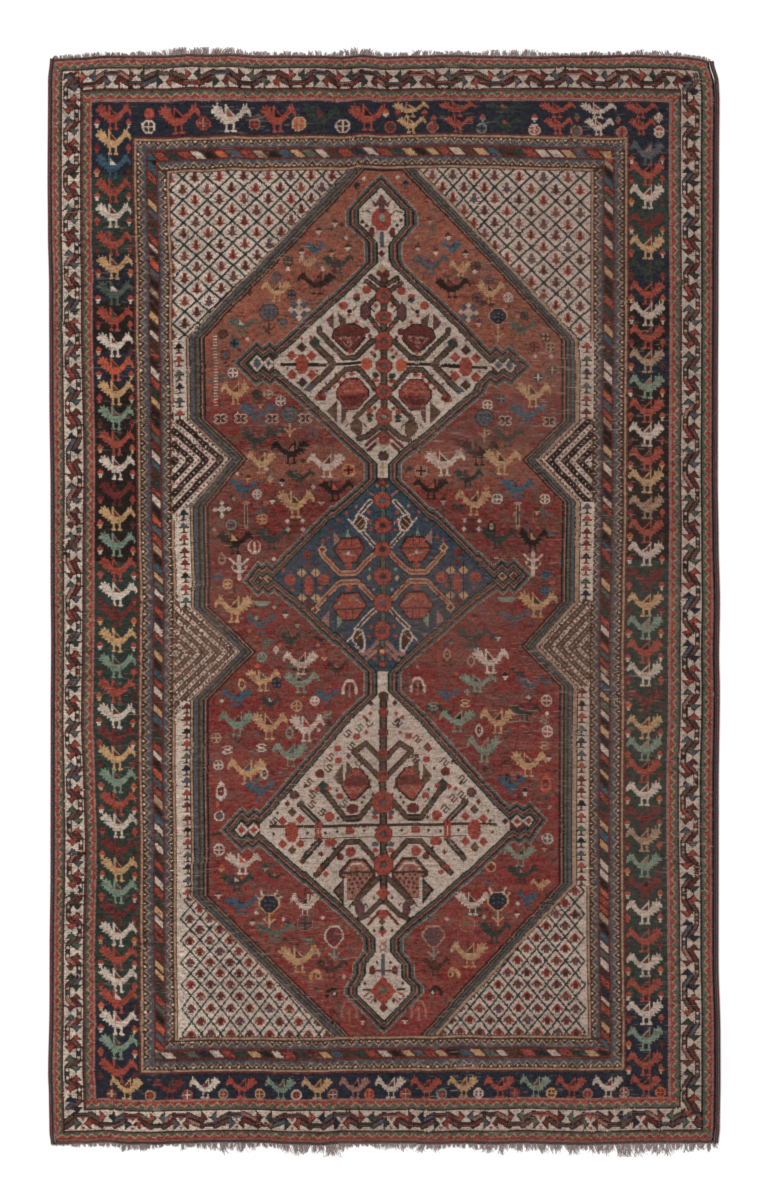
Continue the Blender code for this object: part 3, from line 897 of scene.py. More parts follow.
SECOND_PLAN = (
    ("bar T", 5.4, ((6, 553), (27, 573), (43, 573), (61, 553)), ((10, 599), (26, 582), (44, 582),
     (68, 607))),
    ("bar R", 2, ((6, 553), (27, 573), (43, 573), (61, 553)), ((10, 599), (26, 582), (44, 582), (68, 607))),
    ("gem Y", 10, ((60.5, 549), (68, 609), (67.5, 572), (81, 572), (67.5, 597), (81, 597))),
    ("gem M", 6, ((60.5, 549), (68, 609))),
    ("bar W", 4.8, ((12, 502), (25, 517)), ((20, 533), (8, 547)), ((7, 609), (26, 629))),
    ("bar W", 1.6, ((30, 524), (34, 519)), ((16, 519), (12, 524)), ((31, 637), (35, 641))),
    ("bar D", 2.2, ((12, 502), (25, 517)), ((20, 533), (8, 547)), ((7, 609), (26, 629))),
    ("shape W", 0, ((31, 524), (24, 514), (18, 517), (15, 524), (17, 532), (24, 533)), ((32, 638),
     (27, 629), (20, 630), (17, 640), (17, 651), (22, 654))),
    ("shape D", 0, ((29, 524), (24, 516), (19, 518.5), (17, 524), (19, 530), (23, 531)), ((30, 638),
     (26, 631), (21, 632), (19, 641), (19, 649), (22, 651))),
    ("bar Y", 0.9, ((20, 519), (27, 526)), ((18, 524), (24, 530)), ((21, 634), (28, 640))),
    ("bar I", 4, ((22, 655), (15, 654), (5, 643))), ("bar A", 3.4, ((17, 661), (4, 650))),
    ("shape K", 0, ((23, 537), (41, 537), (50, 549), (40, 564), (26, 564), (17, 549)), ((24, 592),
     (42, 592), (52, 606), (42, 621), (26, 621), (15, 606))),
    ("shape R", 0, ((25, 539), (40, 539), (48, 549), (39, 562), (27, 562), (19, 549)), ((25, 594),
     (41, 594), (50, 606), (41, 619), (27, 619), (17, 606))),
    ("bar L", 1.4, ((27, 556), (40, 553)), ((21, 604), (31, 597))), ("gem W", 4, ((34, 553),)),
    ("bar D", 1.2, ((21, 549), (47, 549)), ((19, 609), (49, 609))), ("gem A", 4, ((33, 599), (5, 486))),
    ("bar D", 1, ((30, 609), (30, 619)), ((37, 609), (37, 619)), ((31, 539), (31, 546)), ((37, 539),
     (37, 546))), ("shape I", 0, ((49, 530), (49, 545), (42, 540)), ((62, 620), (54, 610), (54, 628))),
    ("shape L", 0, ((35, 528), (32, 537), (37, 537)), ((46, 614), (46, 628), (40, 621))),
    ("spot R", 7, ((34, 566), (34, 588))), ("spot R", (9, 19), ((74.5, 585),)),
    ("spot R", 11, ((93, 579), (59, 579))), ("spot M", 9, ((75.5, 554), (75, 604))),
    ("spot M", 7, ((74.5, 564.5),)), ("bar K", 1.2, ((67.5, 564), (67.5, 600)), ((81, 564), (81, 600))),
    ("gem R", 5, ((91, 589), (63, 587), (14, 513), (13, 522), (12, 530), (36, 513), (44, 520), (54, 538),
     (60, 541), (100, 569), (98, 595), (12, 627), (13, 637), (42, 636), (36, 645), (27, 656), (8, 659))),
    ("gem M", 5, ((14, 565), (21, 583), (50, 560), (52, 572), (56, 596), (46, 600), (11, 618), (28, 508),
     (52, 528))), ("gem L", 4, ((26, 507), (13, 570), (14, 580), (9, 590), (43, 603), (44, 655))),
    ("gem Y", 5, ((14, 578),)), ("bar A", 1.8, ((16, 491), (9, 496))),
)
SECOND_ROSETTES = (
    (483, 7, 7, "RR"), (501, 15, 15, "RB"), (526, 16, 15, "RN"), (550, 16, 14, "RN"), (577, 17, 16, "RN"),
    (603.5, 17.5, 17, "RB"), (631, 15, 18, "RS"), (652, 8, 8, "RY"), (665, 7, 7, "RR"),
)
THIRD_PLAN = (
    ("bar U", 4, ((1.5, 760), (17, 744), (29, 752), (5, 776))),
    ("bar U", 4.2, ((60, 788), (38, 818.5), (24, 818.5), (9, 800)), ((6, 862), (24, 842), (38, 842),
     (68, 874)), ((5, 879), (29, 903)), ((3, 902), (16, 915), (24, 919))),
    ("shape G", 0, ((52, 786), (60, 779), (68, 787), (60, 794))), ("bar G", 4.6, ((83, 804), (64, 823))),
    ("bar G", 4.4, ((64, 840), (80, 858))), ("bar I", 1.2, ((81, 806), (66, 821)), ((66, 842), (76, 853))),
    ("gem U", 8, ((82, 803), (81, 860))), ("bar D", 3.4, ((0, 825.3), (113, 825.3))),
    ("bar D", 1.5, ((4, 837.3), (84, 837.3))), ("gem R", 7, ((55, 787), (66, 788), (64, 868), (58, 873))),
    ("shape K", 0, ((28, 767), (22, 768), (12, 780), (12, 787), (26, 801), (33, 801), (42, 787),
     (42, 781), (34, 767))),
    ("shape R", 0, ((33, 768), (24, 769), (15, 780), (15, 787), (27, 799), (32, 799), (40, 787),
     (40, 782))), ("shape M", 0, ((16, 778), (16, 786), (39, 786), (39, 780), (32, 776), (24, 776))),
    ("bar I", 1.4, ((38, 788), (34, 793), (30, 788), (25, 793), (20, 788))),
    ("bar W", 2, ((38.5, 760), (38.5, 779))),
    ("shape D", 0, ((19, 858), (33, 858), (45, 871), (45, 877), (38, 880), (38, 899), (28, 899), (8, 878),
     (8, 871))),
    ("shape A", 0, ((20.6, 861), (31.6, 861), (41, 872), (12, 872)), ((10, 874), (42, 874), (37, 878),
     (37, 898), (29, 898))), ("bar W", 1.2, ((37, 871), (31, 864), (22, 864), (16, 871))),
    ("gem D", 3.6, ((14, 875.5), (20, 875.5), (26, 875.5), (32, 875.5), (17, 879), (23, 879), (29, 879),
     (34, 880), (21, 883), (26, 883), (31, 884), (25, 887.5), (30, 888.5), (34, 889), (31, 893))),
    ("shape K", 0, ((38, 877), (51, 890), (40, 905))),
    ("shape U", 0, ((50, 777), (40, 764), (40, 786), (44, 784)), ((37, 760), (30, 767), (31, 773),
     (36, 778)), ((40, 881), (48, 890), (41, 901))), ("bar W", 2.6, ((38, 879), (38, 902))),
    ("shape P", 0, ((29, 906), (24, 899), (19, 905), (19, 913), (24, 919), (28, 912))),
    ("bar M", 3, ((3, 911), (15, 925))), ("bar K", 1.3, ((32, 904), (34, 907)), ((18, 904), (16, 906))),
    ("spot R", (13, 20), ((92, 831),)), ("gem R", 10, ((83, 818), (101, 820), (83, 843), (101, 843))),
    ("gem U", 10, ((91.5, 811), (91.5, 849))),
    ("bar R", 2.4, ((63, 821), (63, 839)), ((67, 821), (67, 839))), ("spot M", (12, 10), ((30.5, 809),)),
    ("spot M", 7, ((43, 857),)), ("spot R", 10, ((54, 816), (33, 852))), ("spot M", 9, ((63, 773),)),
    ("spot P", 10, ((89, 794),)), ("spot R", (12, 9), ((53, 842),)), ("spot R", (9, 7), ((33, 831),)),
    ("spot R", (7, 6), ((26, 737), (45, 748), (44, 760), (43, 796))),
    ("gem M", 6, ((34, 756), (12, 704), (62, 853), (96, 803))),
    ("gem D", 4.4, ((5, 830), (19, 831), (46, 831), (58, 832), (76, 832), (10, 795), (12, 788), (14, 781),
     (18, 798), (21, 803), (106, 812), (108, 822), (110, 833), (50, 848), (46, 790), (52, 769), (70, 764),
     (78, 785), (45, 818))), ("spot S", (7, 5), ((8, 813), (8, 845))),
    ("spot R", (6, 5), ((8, 818), (8, 851))), ("bar D", 1.3, ((13, 723), (17, 719), (15, 728), (10, 724))),
    ("gem R", 5, ((27, 868), (13, 714), (19, 718), (17, 733), (73, 790))),
    ("gem D", 4.6, ((9, 931), (9, 898), (17, 962), (7, 963), (19, 984), (9, 1001))),
    ("spot M", (6, 9), ((11.5, 971),)), ("bar M", 1.1, ((0, 971), (11, 971))),
    ("bar D", 1.2, ((21, 990), (13, 990))), ("bar R", 1.8, ((20, 997), (14, 992)), ((14, 1003), (9, 998))),
    ("bar D", 1, ((17, 1000), (12, 996))),
)
THIRD_ROSETTES = (
    (697, 9, 8, "PG"), (712.5, 8.5, 9, "RR"), (733, 8.5, 8, "RM"), (754, 9, 9, "RR"), (776.5, 11, 11, "RR"),
    (803, 21, 21, "RS"), (834.5, 16, 16, "RS"), (865, 18.5, 20, "RS"),
)
SLANTED_S = ((3.9, -0.4), (0.4, -3.9), (-2, -1.5), (1.5, 2), (-0.9, 4.4), (-4.4, 0.9))


def scatter_esses(axis):
    """Little S shapes that fill the ivory between the figures of the last medallion."""
    places = (
        (-109, 820, "D"), (-35, 733, "D"), (-23, 728, "E"), (-31, 746, "D"), (-52, 756, "M"), (-54, 767, "D"),
        (-23, 762, "D"), (-74, 781, "D"), (-70, 793, "D"), (-71, 803, "M"), (-61, 811, "D"), (-39, 803, "E"),
        (15, 723, "D"), (34, 740, "M"), (45, 748, "D"), (31, 760, "D"), (62, 763, "D"), (80, 781, "D"),
        (79, 797, "D"), (70, 800, "M"), (62, 810, "D"), (46, 803, "E"),
    )
    for dx, y, dye in places:
        way = -1 if dx > 0 else 1
        stroke([(axis + dx + way * px, y + py) for px, py in SLANTED_S], 1.4, dye)


# The medallions' side arrows: which columns they take, their ground, and the diamonds in them
ARROW_ENDS = (
    (362, 245, 274, "M", ((257, 15, 17), (268.5, 11, 13)), "W", "S"),
    (366, 489, 520, "M", ((495.5, 13, 15), (507, 15, 17)), "W", "S"),
    (578.5, 245, 273, "P", ((256, 12, 12), (266.5, 11, 11)), "T", "M"),
    (577, 491, 525, "P", ((500.5, 11, 11), (512, 12, 12)), "T", "M"),
    (829, 222, 258, "M", ((239.3, 14, 15), (251.3, 13, 14)), "W", "R"),
    (822.3, 509, 540, "M", ((516.5, 13, 13), (528, 13, 13)), "W", "R"),
)


def arrow_ends(ground):
    for y, first, last, dye, diamonds, rim, heart in ARROW_ENDS:
        part = ground[:, first:last].copy()
        part[:int(y) - 30] = False
        part[int(y) + 30:] = False
        edge = part & ~shrunk(part, 2)
        chart[:, first:last][part] = CODES[dye]
        chart[:, first:last][edge] = CODES["D" if rim == "W" else "I"]
        for x, wide, high in diamonds:
            gem(x, y, wide, high, rim)
            gem(x, y, wide - 5.5, high - 6, heart)


def draw_medallion_figures(ground):
    before = chart.copy()
    arrow_ends(ground)
    gem(504.5, 822.5, 7, 7, "M")
    # The middle bars and stems first, then the figures on either side
    stem(382.3, 277, 436, "U")
    block(378.6, 232, 383.4, 248, "S")
    draw_plan(FIRST_PLAN, 382.3, 0.028)
    rosettes(382.3, FIRST_ROSETTES)
    gem(381, 254, 8, 8, "M")
    octagon(382, 274, 13, 9, "M")
    gem(380.7, 269, 9, 9, "Y")
    octagon(381, 220, 19, 22, "R")
    octagon(381.3, 218.5, 5, 8, "L")
    fill([(381, 194), (386.5, 203), (391, 200), (387, 208), (384, 206), (384, 213), (378, 213), (378, 206),
          (374, 208), (371, 201), (375.5, 203)], "P")
    for spot in ((371.5, 233, 6, 10, "M"), (391.5, 233, 6, 10, "M"), (362, 223.5, 4, 4, "D"),
                 (366, 227.5, 4, 4, "D"), (396, 226, 4, 4, "D"), (400, 221, 4, 4, "M"),
                 (381.5, 456.5, 11, 10, "G")):
        octagon(*spot)
    stroke([(362, 213), (368, 212), (370, 216)], 1.3, "D")
    stroke([(390, 216), (395, 211), (402, 214)], 1.3, "D")
    gem(381.5, 457.5, 8, 7, "M")
    stroke([(376, 444), (382, 448), (388, 444)], 1.8, "T")
    for y in (467.5, 473.5):
        octagon(381, y, 5, 4.6, "T")
    # The blue medallion
    stem(380.7, 484, 668, "E", 4.0)
    draw_plan(SECOND_PLAN, 380.7)
    rosettes(380.7, SECOND_ROSETTES)
    # The last medallion
    stem(382, 700, 905, "U")
    draw_plan(THIRD_PLAN, 381.6)
    scatter_esses(381.6)
    rosettes(382, THIRD_ROSETTES)
    gem(381.5, 893.5, 15, 16, "R")
    octagon(381, 915, 9.6, 9, "R")
    gem(381, 922, 8, 8, "U")
    gem(381, 931.5, 9, 12, "R")
    gem(381, 929, 6, 6, "G")
    for y in (944, 950):
        stroke([(377.5, y - 3), (384.5, y + 3)], 1.2, "I")
        stroke([(377.5, y + 3), (384.5, y - 3)], 1.2, "I")
    block(378.7, 954.5, 383.2, 976, "S")
    gem(380.6, 991.5, 27, 31, "R")
    octagon(380.6, 991, 8, 7, "E")
    gem(380.6, 1008, 9, 10, "M")
    chart[~ground] = before[~ground]
    # Red and brown shapes were knotted with odd ends of darker and paler yarn
    odd_ends(((("M", 0.24, "D"), ("M", 0.1, "I"), ("R", 0.1, "M"), ("U", 0.16, "P"), ("P", 0.2, "D"),
               ("C", 0.07, "N"))), 17, ground)


draw_medallion_figures(ground)
print("medallion figures:", len(FIRST_PLAN) + len(SECOND_PLAN) + len(THIRD_PLAN), "plan entries")

# %% [markdown]
# ## Animals and flowers in the field
#
# The red ground is strewn with birds, flowers on stalks, small buds and curls, nearly the same on both sides.
# Each bird has its left end and its tail's top, its right end and its feet, the way it faces, and the dyes of
# its body and its wing. Everything here is kept to the red field.

# %% Field figures
FIELD_BIRDS = (
    (305, 241, 325, 256, 1, "BD"), (322, 254, 353, 272, 1, "GM"), (299, 255, 316, 270, -1, "YO"),
    (297, 271, 335, 293, -1, "KM"), (262, 279, 291, 300, -1, "YD"), (228, 316, 258, 333, 1, "EW"),
    (221, 380, 249, 404, -1, "YD"), (239, 402, 276, 421, 1, "BR"), (239, 427, 276, 447, 1, "GR"),
    (270, 439, 309, 462, -1, "KA"), (246, 450, 275, 472, -1, "YD"), (306, 452, 344, 476, -1, "WD"),
    (284, 468, 313, 485, 1, "GM"), (317, 479, 352, 500, 1, "KO"), (229, 478, 258, 497, 1, "BM"),
    (276, 489, 313, 516, 1, "YD"), (254, 526, 288, 548, 1, "GM"), (216, 529, 252, 553, 1, "KY"),
    (212, 594, 251, 621, -1, "YD"), (243, 612, 274, 632, 1, "SM"), (279, 630, 299, 648, 1, "GM"),
    (281, 650, 317, 673, -1, "WD"), (244, 668, 279, 690, 1, "YS"), (281, 671, 318, 691, 1, "LD"),
    (324, 660, 347, 676, 1, "DA"), (219, 688, 251, 705, -1, "BM"), (313, 688, 337, 704, 1, "BM"),
    (259, 694, 279, 710, 1, "GW"), (217, 710, 253, 734, -1, "LM"), (250, 711, 286, 738, 1, "YM"),
    (288, 713, 323, 740, 1, "WR"), (271, 741, 307, 765, -1, "LS"), (226, 758, 265, 783, -1, "YS"),
    (243, 779, 274, 799, 1, "BM"), (222, 852, 259, 873, 1, "WO"), (218, 873, 252, 890, 1, "GW"),
    (221, 896, 258, 912, 1, "BD"), (288, 892, 317, 915, -1, "WD"), (253, 922, 292, 939, 1, "ER"),
    (276, 944, 318, 971, 1, "YM"), (313, 958, 346, 977, 1, "DM"), (264, 871, 282, 880, 1, "GT"),
    (440, 242, 460, 257, -1, "BD"), (410, 256, 447, 275, 1, "SM"), (447, 262, 469, 278, -1, "YO"),
    (432, 279, 468, 299, 1, "KM"), (474, 282, 502, 304, 1, "YD"), (504, 320, 534, 336, 1, "EO"),
    (513, 382, 548, 407, 1, "YD"), (506, 404, 543, 424, 1, "BR"), (489, 428, 522, 447, 1, "GR"),
    (458, 441, 496, 466, 1, "KM"), (481, 450, 518, 475, 1, "YD"), (422, 451, 463, 477, 1, "WD"),
    (451, 470, 481, 489, 1, "GM"), (411, 479, 446, 500, -1, "KO"), (498, 479, 532, 499, 1, "BM"),
    (453, 491, 489, 516, -1, "YD"), (479, 529, 514, 549, 1, "GM"), (516, 528, 546, 553, 1, "KY"),
    (516, 592, 556, 617, 1, "YD"), (496, 610, 529, 628, 1, "SM"), (454, 628, 490, 648, 1, "GM"),
    (471, 649, 508, 674, 1, "WD"), (458, 675, 495, 693, 1, "LD"), (514, 676, 544, 694, 1, "ST"),
    (436, 690, 458, 704, 1, "BM"), (438, 711, 474, 733, -1, "LK"), (479, 709, 514, 734, -1, "YD"),
    (508, 705, 540, 722, 1, "GM"), (466, 737, 500, 763, -1, "LR"), (510, 752, 546, 777, 1, "YM"),
    (496, 776, 526, 795, 1, "BM"), (503, 846, 536, 867, -1, "LD"), (506, 866, 538, 884, 1, "GA"),
    (530, 880, 550, 892, -1, "YY"), (516, 892, 538, 909, -1, "BB"), (454, 893, 490, 916, 1, "WD"),
    (478, 922, 510, 944, 1, "GM"), (449, 943, 487, 969, -1, "YD"), (420, 957, 449, 976, 1, "DM"),
)
RING_FLOWERS = (            # x, y, radius, and the dyes of rim, ground and heart
    (288, 260, 5, "DSD"), (277, 275, 5, "SMS"), (291.5, 294, 5, "DSK"), (224, 333, 5, "DGM"),
    (235, 343, 5, "SBK"), (226, 354, 5, "MPS"), (233, 372, 5.4, "WDW"), (257, 393, 5, "GDG"),
    (268, 393, 4.6, "TDT"), (280, 400, 5, "WDW"), (312, 432, 6, "PSM"), (284, 321, 4, "SMS"),
    (473, 267, 5, "DPD"), (486, 281, 5, "PSM"), (474, 299, 5, "DSM"), (505, 298, 4.8, "WSW"),
    (531, 347, 5.4, "MRD"), (547, 347, 5, "TDT"), (542, 336, 5, "DTD"), (549, 369.5, 5, "SDT"),
    (535, 377.5, 5, "SKW"), (498.5, 399.5, 5, "SDT"), (485, 406, 5.2, "WMW"), (521, 316, 4.5, "DSD"),
    (256, 493, 4.6, "WSW"), (261, 518, 5.4, "YRY"), (230, 524, 5, "LSM"), (494.5, 500, 5.4, "WSW"),
    (542, 499, 5, "WMW"), (225, 583, 5, "YRY"), (215, 576, 4, "BMB"), (544, 575, 4.6, "BDB"),
    (543, 591, 4.6, "BDB"), (260, 656, 4.6, "LSL"), (265, 641, 4, "ETE"), (275, 682, 5, "NSN"),
    (295, 705, 5.6, "YMY"), (313, 700, 4.6, "WRW"), (217, 764, 5.4, "WDW"), (216.5, 849, 5.6, "WMW"),
    (545.5, 701, 5.6, "WMW"), (546.5, 732, 5.6, "WRW"), (547, 839.5, 5.8, "WSW"), (217, 815, 5, "WMS"),
    (490, 868, 5, "YRD"), (303, 922, 8.5, "APG"), (466, 926, 8.5, "ARE"), (214, 737, 5, "TMT"),
    (347, 470, 6.5, "YOK"), (419, 472, 6.5, "TAK"), (466, 694, 4.5, "SRT"), (484, 770, 4.5, "SMD"),
)
FIELD_BUDS = (              # x, y, and the dyes of cap and foot
    (302, 250, "DW"), (347, 246, "DW"), (331, 251, "DY"), (319, 229, "DW"), (335, 221, "DW"),
    (416, 248, "DW"), (434, 252, "MW"), (463, 254, "KW"), (446, 237, "DW"), (428, 221, "MT"),
    (476, 323, "MW"), (281, 480, "KW"), (271, 498, "DW"), (320, 500, "MW"), (269, 477, "TY"),
    (247, 476, "DY"), (283, 612, "DW"), (274, 648, "WW"), (323, 655, "RY"), (441, 501, "KW"),
    (484, 488, "OT"), (534, 510, "DY"), (497, 637, "DW"), (504, 676, "KW"), (450, 643, "GA"),
    (472, 618, "DA"), (216, 893, "DW"), (250, 920, "MW"), (219, 867, "OY"), (263, 866, "GL"),
    (516, 914, "MW"), (524.5, 792, "KW"), (548, 757, "DW"), (305, 786, "MA"), (295, 622, "MT"),
    (260, 402, "MY"), (239, 300, "DA"), (230, 311, "MA"), (250, 290, "MD"), (459, 327, "OT"),
    (359.5, 1020, "DW"), (402, 1020, "DW"), (357, 186, "NN"), (405, 184, "NS"), (544, 848, "MT"),
)
FIELD_SPECKS = (            # a dye and its places
    ("W", (346, 237), (364, 180), (397, 178), (397, 240), (322, 268), (302, 256), (248, 338), (288, 268),
     (472, 273), (532, 356), (548, 356), (266, 468), (312, 486), (237, 473), (272, 558), (495, 559),
     (281, 918), (320.5, 916.5), (341.5, 976.5), (446, 920), (483, 918), (254, 912), (517, 905),
     (317, 729), (332, 994), (431.5, 994), (528, 698), (220, 700), (546, 714)),
    ("T", (415, 238), (213, 528), (233, 498), (272, 606), (316, 644), (549, 808), (512, 515), (416, 668)),
    ("A", (441, 273), (320, 649), (281, 288), (278, 644)),
    ("O", (259, 708), (247, 630), (320, 480), (455, 676)), ("R", (426, 446)), ("Y", (254, 617)),
)
FIELD_ESSES = (             # x, y, dye, flipped
    (260, 747, "W", 0), (226, 749, "W", 1), (544, 720, "T", 1), (544, 746, "T", 1), (464, 705, "Y", 1),
    (242, 657, "M", 0), (326, 714, "L", 1), (432, 707, "L", 0), (506, 762, "D", 1), (446, 664, "D", 0),
)
SHIELDS = (                 # x, y, width, height, foot, and the dyes of rim, ground and stalk
    (269, 312, 18, 16, 333, "DSD"), (495, 318, 17, 16, 342, "TNT"), (289, 414, 18, 16, 435, "DSY"),
    (482, 420, 17, 17, 442, "DST"), (267, 904, 19, 18, 926, "YNY"), (497, 903, 19, 18, 926, "YNY"),
    (332, 937, 17, 20, 960, "WML"), (432, 938, 20, 20, 960, "TPL"),
)
FOUR_DIAMONDS = ("..W...W..", ".W.W.W.W.", "W.KKWKK.W", ".WKKRKKW.", "..W.R.W..", ".WKKRKKW.", "W.KKWKK.W",
                 ".W.W.W.W.", "..W...W..")
ESS = (".####.", "##..##", "##....", ".####.", "....##", "##..##", ".####.")


def shield(x, y, wide, high, foot_y, rim, inside, stalk):
    """A large flower shaped like a shield on a stalk with a leaf on either side."""
    a, b = wide / 2, high / 2
    shape = [(-a * 0.5, -b), (a * 0.5, -b), (a, -b * 0.4), (a, b * 0.1), (a * 0.25, b * 0.9),
             (-a * 0.25, b * 0.9), (-a, b * 0.1), (-a, -b * 0.4)]
    stroke([(x, y + b * 0.8), (x, foot_y)], 1.8, stalk)
    stroke([(x - 5, foot_y - 7), (x, foot_y - 3), (x + 5, foot_y - 7)], 1.6, stalk)
    for grow, dye in ((1.16, rim), (0.98, inside)):
        fill([(x + px * grow, y + py * grow) for px, py in shape], dye)
    for px, py in ((-0.45, -0.4), (0.05, -0.45), (0.5, -0.3), (-0.4, 0.1), (0.1, 0.05), (0.5, 0.15),
                   (0, 0.5)):
        speck(x + px * a, y + py * b, "S" if inside != "S" else "D", 2.6)


def gate(x, y, wide, high, dye):
    arch = ((-1, 1), (-1, 0), (-0.5, -1), (0.5, -1), (1, 0), (1, 1))
    stroke([(x + px * wide / 2, y + py * high / 2) for px, py in arch], 2.0, dye)
    octagon(x, y + 1, wide * 0.55, high * 0.5, "D" if dye == "W" else "R")
    stroke([(x, y - 1), (x, y + high / 2 + 3)], 1.6, "A")


def field_figures():
    before = chart.copy()
    red = chart == CODES["F"]
    made = random.Random(21)
    for _ in range(1500):               # faint leaves between the figures
        x, y, dye = made.uniform(206, 560), made.uniform(174, 1036), made.choice("MMMRRRPPDUEGSOB")
        wide, high = made.choice(((4, 4), (6, 4), (4, 6), (3, 3), (3, 3), (7, 5)))
        (gem if made.random() < 0.6 else octagon)(x, y, wide * 0.8, high * 0.8, dye)
    for _ in range(70):                 # and larger ones, rubbed down to smudges
        x, y, dye = made.uniform(210, 555), made.uniform(230, 1000), made.choice("GGUSDEN")
        for _ in range(5):
            at = x + made.uniform(-8, 8), y + made.uniform(-3, 3)
            gem(*at, made.uniform(4, 10), made.uniform(2.5, 5), dye)
    for *box, way, dyes in FIELD_BIRDS:
        bird_between(*box, way, *dyes)
    for x, y, radius, dyes in RING_FLOWERS:
        ring_flower(x, y, radius, *dyes)
    for x, y, dyes in FIELD_BUDS:
        bud(x, y, *dyes)
    for dye, *places in FIELD_SPECKS:
        for x, y in places:
            speck(x, y, dye, 4.6)
    for x, y, dye, flipped in FIELD_ESSES:
        stamp(ESS, x - 5, y - 4, 10, 8, {"#": dye}, flip=bool(flipped))
    for *box, foot, dyes in SHIELDS:
        shield(*box, foot, *dyes)
    for x, y in ((267, 904), (497, 903)):
        for dx, dy, lean in ((-11, -6, -4), (11, -6, 4), (-8, -11, -2), (7, -11, 3)):
            stroke([(x + dx * 0.8, y + dy * 0.8), (x + dx + lean * 0.3, y + dy - 3)], 2.0, "W")
    for x, y in ((220, 418), (240, 418), (271.5, 418), (305, 418), (502.5, 421), (547, 421)):
        stamp(FOUR_DIAMONDS, x - 6.5, y - 5.5, 13, 11)
    for x, y, wide, petal in ((299, 309, 21, "S"), (466, 314, 20, "S"), (221, 508, 17, "D")):
        gem(x, y, wide, wide, "W")
        for dx, dy in ((-1, -1), (1, -1), (-1, 1), (1, 1)):
            gem(x + dx * wide * 0.23, y + dy * wide * 0.23, wide * 0.42, wide * 0.42, petal)
        for dx, dy in ((-1, 0), (1, 0), (0, -1), (0, 1)):
            speck(x + dx * wide * 0.42, y + dy * wide * 0.42, "W", 4.5)
        speck(x, y, "W", 5)
    for x, y in ((294, 525), (469.5, 527)):
        octagon(x, y, 9, 13, "M")
        for dy in (-6, 0, 6):
            stroke([(x - 6, y + dy), (x + 6, y + dy)], 1.3, "D")
        for dx, dy in ((-7.5, -5), (7.5, -5), (-7.5, 3.5), (7.5, 3.5)):
            speck(x + dx, y + dy, "W", 5)
    for x, y in ((245, 514), (515, 516)):
        stroke([(x, y - 12), (x, y + 12)], 4.0, "T")
        stroke([(x, y - 9), (x, y + 9)], 1.6, "G")
        stroke([(x - 3.5, y - 12), (x + 3.5, y - 12)], 1.4, "T")
    for x, y in ((237, 566), (531, 563)):
        for reach, top in ((9, -7), (7, 1)):
            arm = ((-reach, -1), (-reach * 0.5, 4), (0, 5), (reach * 0.5, 4), (reach, -1))
            stroke([(x + dx, y + top + dy) for dx, dy in arm], 2.2, "W")
        stroke([(x, y - 10), (x, y + 12)], 3.2, "W")
        speck(x - 5, y + 2, "M", 3.4)
        speck(x + 5, y + 2, "M", 3.4)
    octagon(253, 546, 13, 14, "W")
    octagon(253, 545, 9.5, 11, "R")
    for dx in (-2.6, 0, 2.6):
        stroke([(253 + dx, 541), (253 + dx, 551)], 1.3, "D" if dx else "W")
    for x, y, dye, big in ((220, 557, "T", 1), (263, 772, "W", 1), (219, 790, "W", 1.5), (478, 731, "W", 1),
                           (545, 784, "O", 1.5), (240, 683, "Y", 1), (446, 655, "T", 1), (470, 662, "T", 1),
                           (288, 731, "L", 1), (489, 527, "K", 1)):
        fill([(x - 3.6 * big, y - 1), (x, y - 7 * big), (x + 4 * big, y - 1), (x + 3.6 * big, y + 4 * big),
              (x, y + 7 * big), (x - 3.6 * big, y + 4 * big)], dye)
        octagon(x, y + 0.5, 4.2 * big, 6.4 * big, "M" if dye != "K" else "T")
        speck(x, y + 0.5, dye, 2.6)
    for x, y, way in ((315, 975, -1), (450, 976, 1), (331, 993, -1), (432, 993, 1)):
        dye = "Y" if y < 980 else "K"
        curl = ((7, 3), (7, -1), (3, -5), (-1, -5), (-2, 0))
        stroke([(x + way * dx, y + dy) for dx, dy in curl], 3.0, dye)
        octagon(x - way, y, 6, 7, dye)
        speck(x - way, y, "D" if dye == "Y" else "W", 4)
    for x, y, wide, high, dye in ((348, 687, 13, 13, "W"), (416, 686, 13, 13, "W"), (346, 1010, 15, 16, "I"),
                                  (416, 1010, 14, 16, "I")):
        gate(x, y, wide, high, dye)
    for y in range(334, 406, 3):        # a string of dashes down the left edge
        block(213.5, y, 217.5, y + 1.3, "W")
    fill([(250, 600), (270, 600), (264, 605), (255, 605)], "L")
    fill([(495, 598), (517, 598), (510, 603), (500, 603)], "L")
    chart[~red] = before[~red]
    return int((chart != before).sum())


print("field figures cover", field_figures(), "knots")

# %% [markdown]
# ## From chart to wool
#
# Hand spinning and plant dyes never give one flat colour. Each dye gets its colour, knots stray a little from
# their squares, rows differ from one lot of wool to the next, deeper rows get painted shade, and worn places
# let the pale wefts show as short dashes. All of it is worked out for every knot from seeded soft random
# values.

# %% Pile colours
LIGHT = 1.12              # how bright a white sheet on the floor looks under the lamps set below


def cloud(step_y, step_x, seed):
    """Soft random values from -1 to 1 for every knot, changing over so many knots down and across."""
    made = np.random.default_rng(seed)
    coarse = made.uniform(-1, 1, (int(ROWS / step_y) + 3, int(COLUMNS / step_x) + 3))
    y = np.arange(ROWS)[:, None] / step_y
    x = np.arange(COLUMNS)[None, :] / step_x
    low_y = y.astype(int)
    low_x = x.astype(int)
    part_y = y - low_y
    part_x = x - low_x
    part_y = part_y * part_y * (3 - 2 * part_y)
    part_x = part_x * part_x * (3 - 2 * part_x)
    upper = coarse[low_y, low_x] * (1 - part_x) + coarse[low_y, low_x + 1] * part_x
    lower = coarse[low_y + 1, low_x] * (1 - part_x) + coarse[low_y + 1, low_x + 1] * part_x
    return upper * (1 - part_y) + lower * part_y


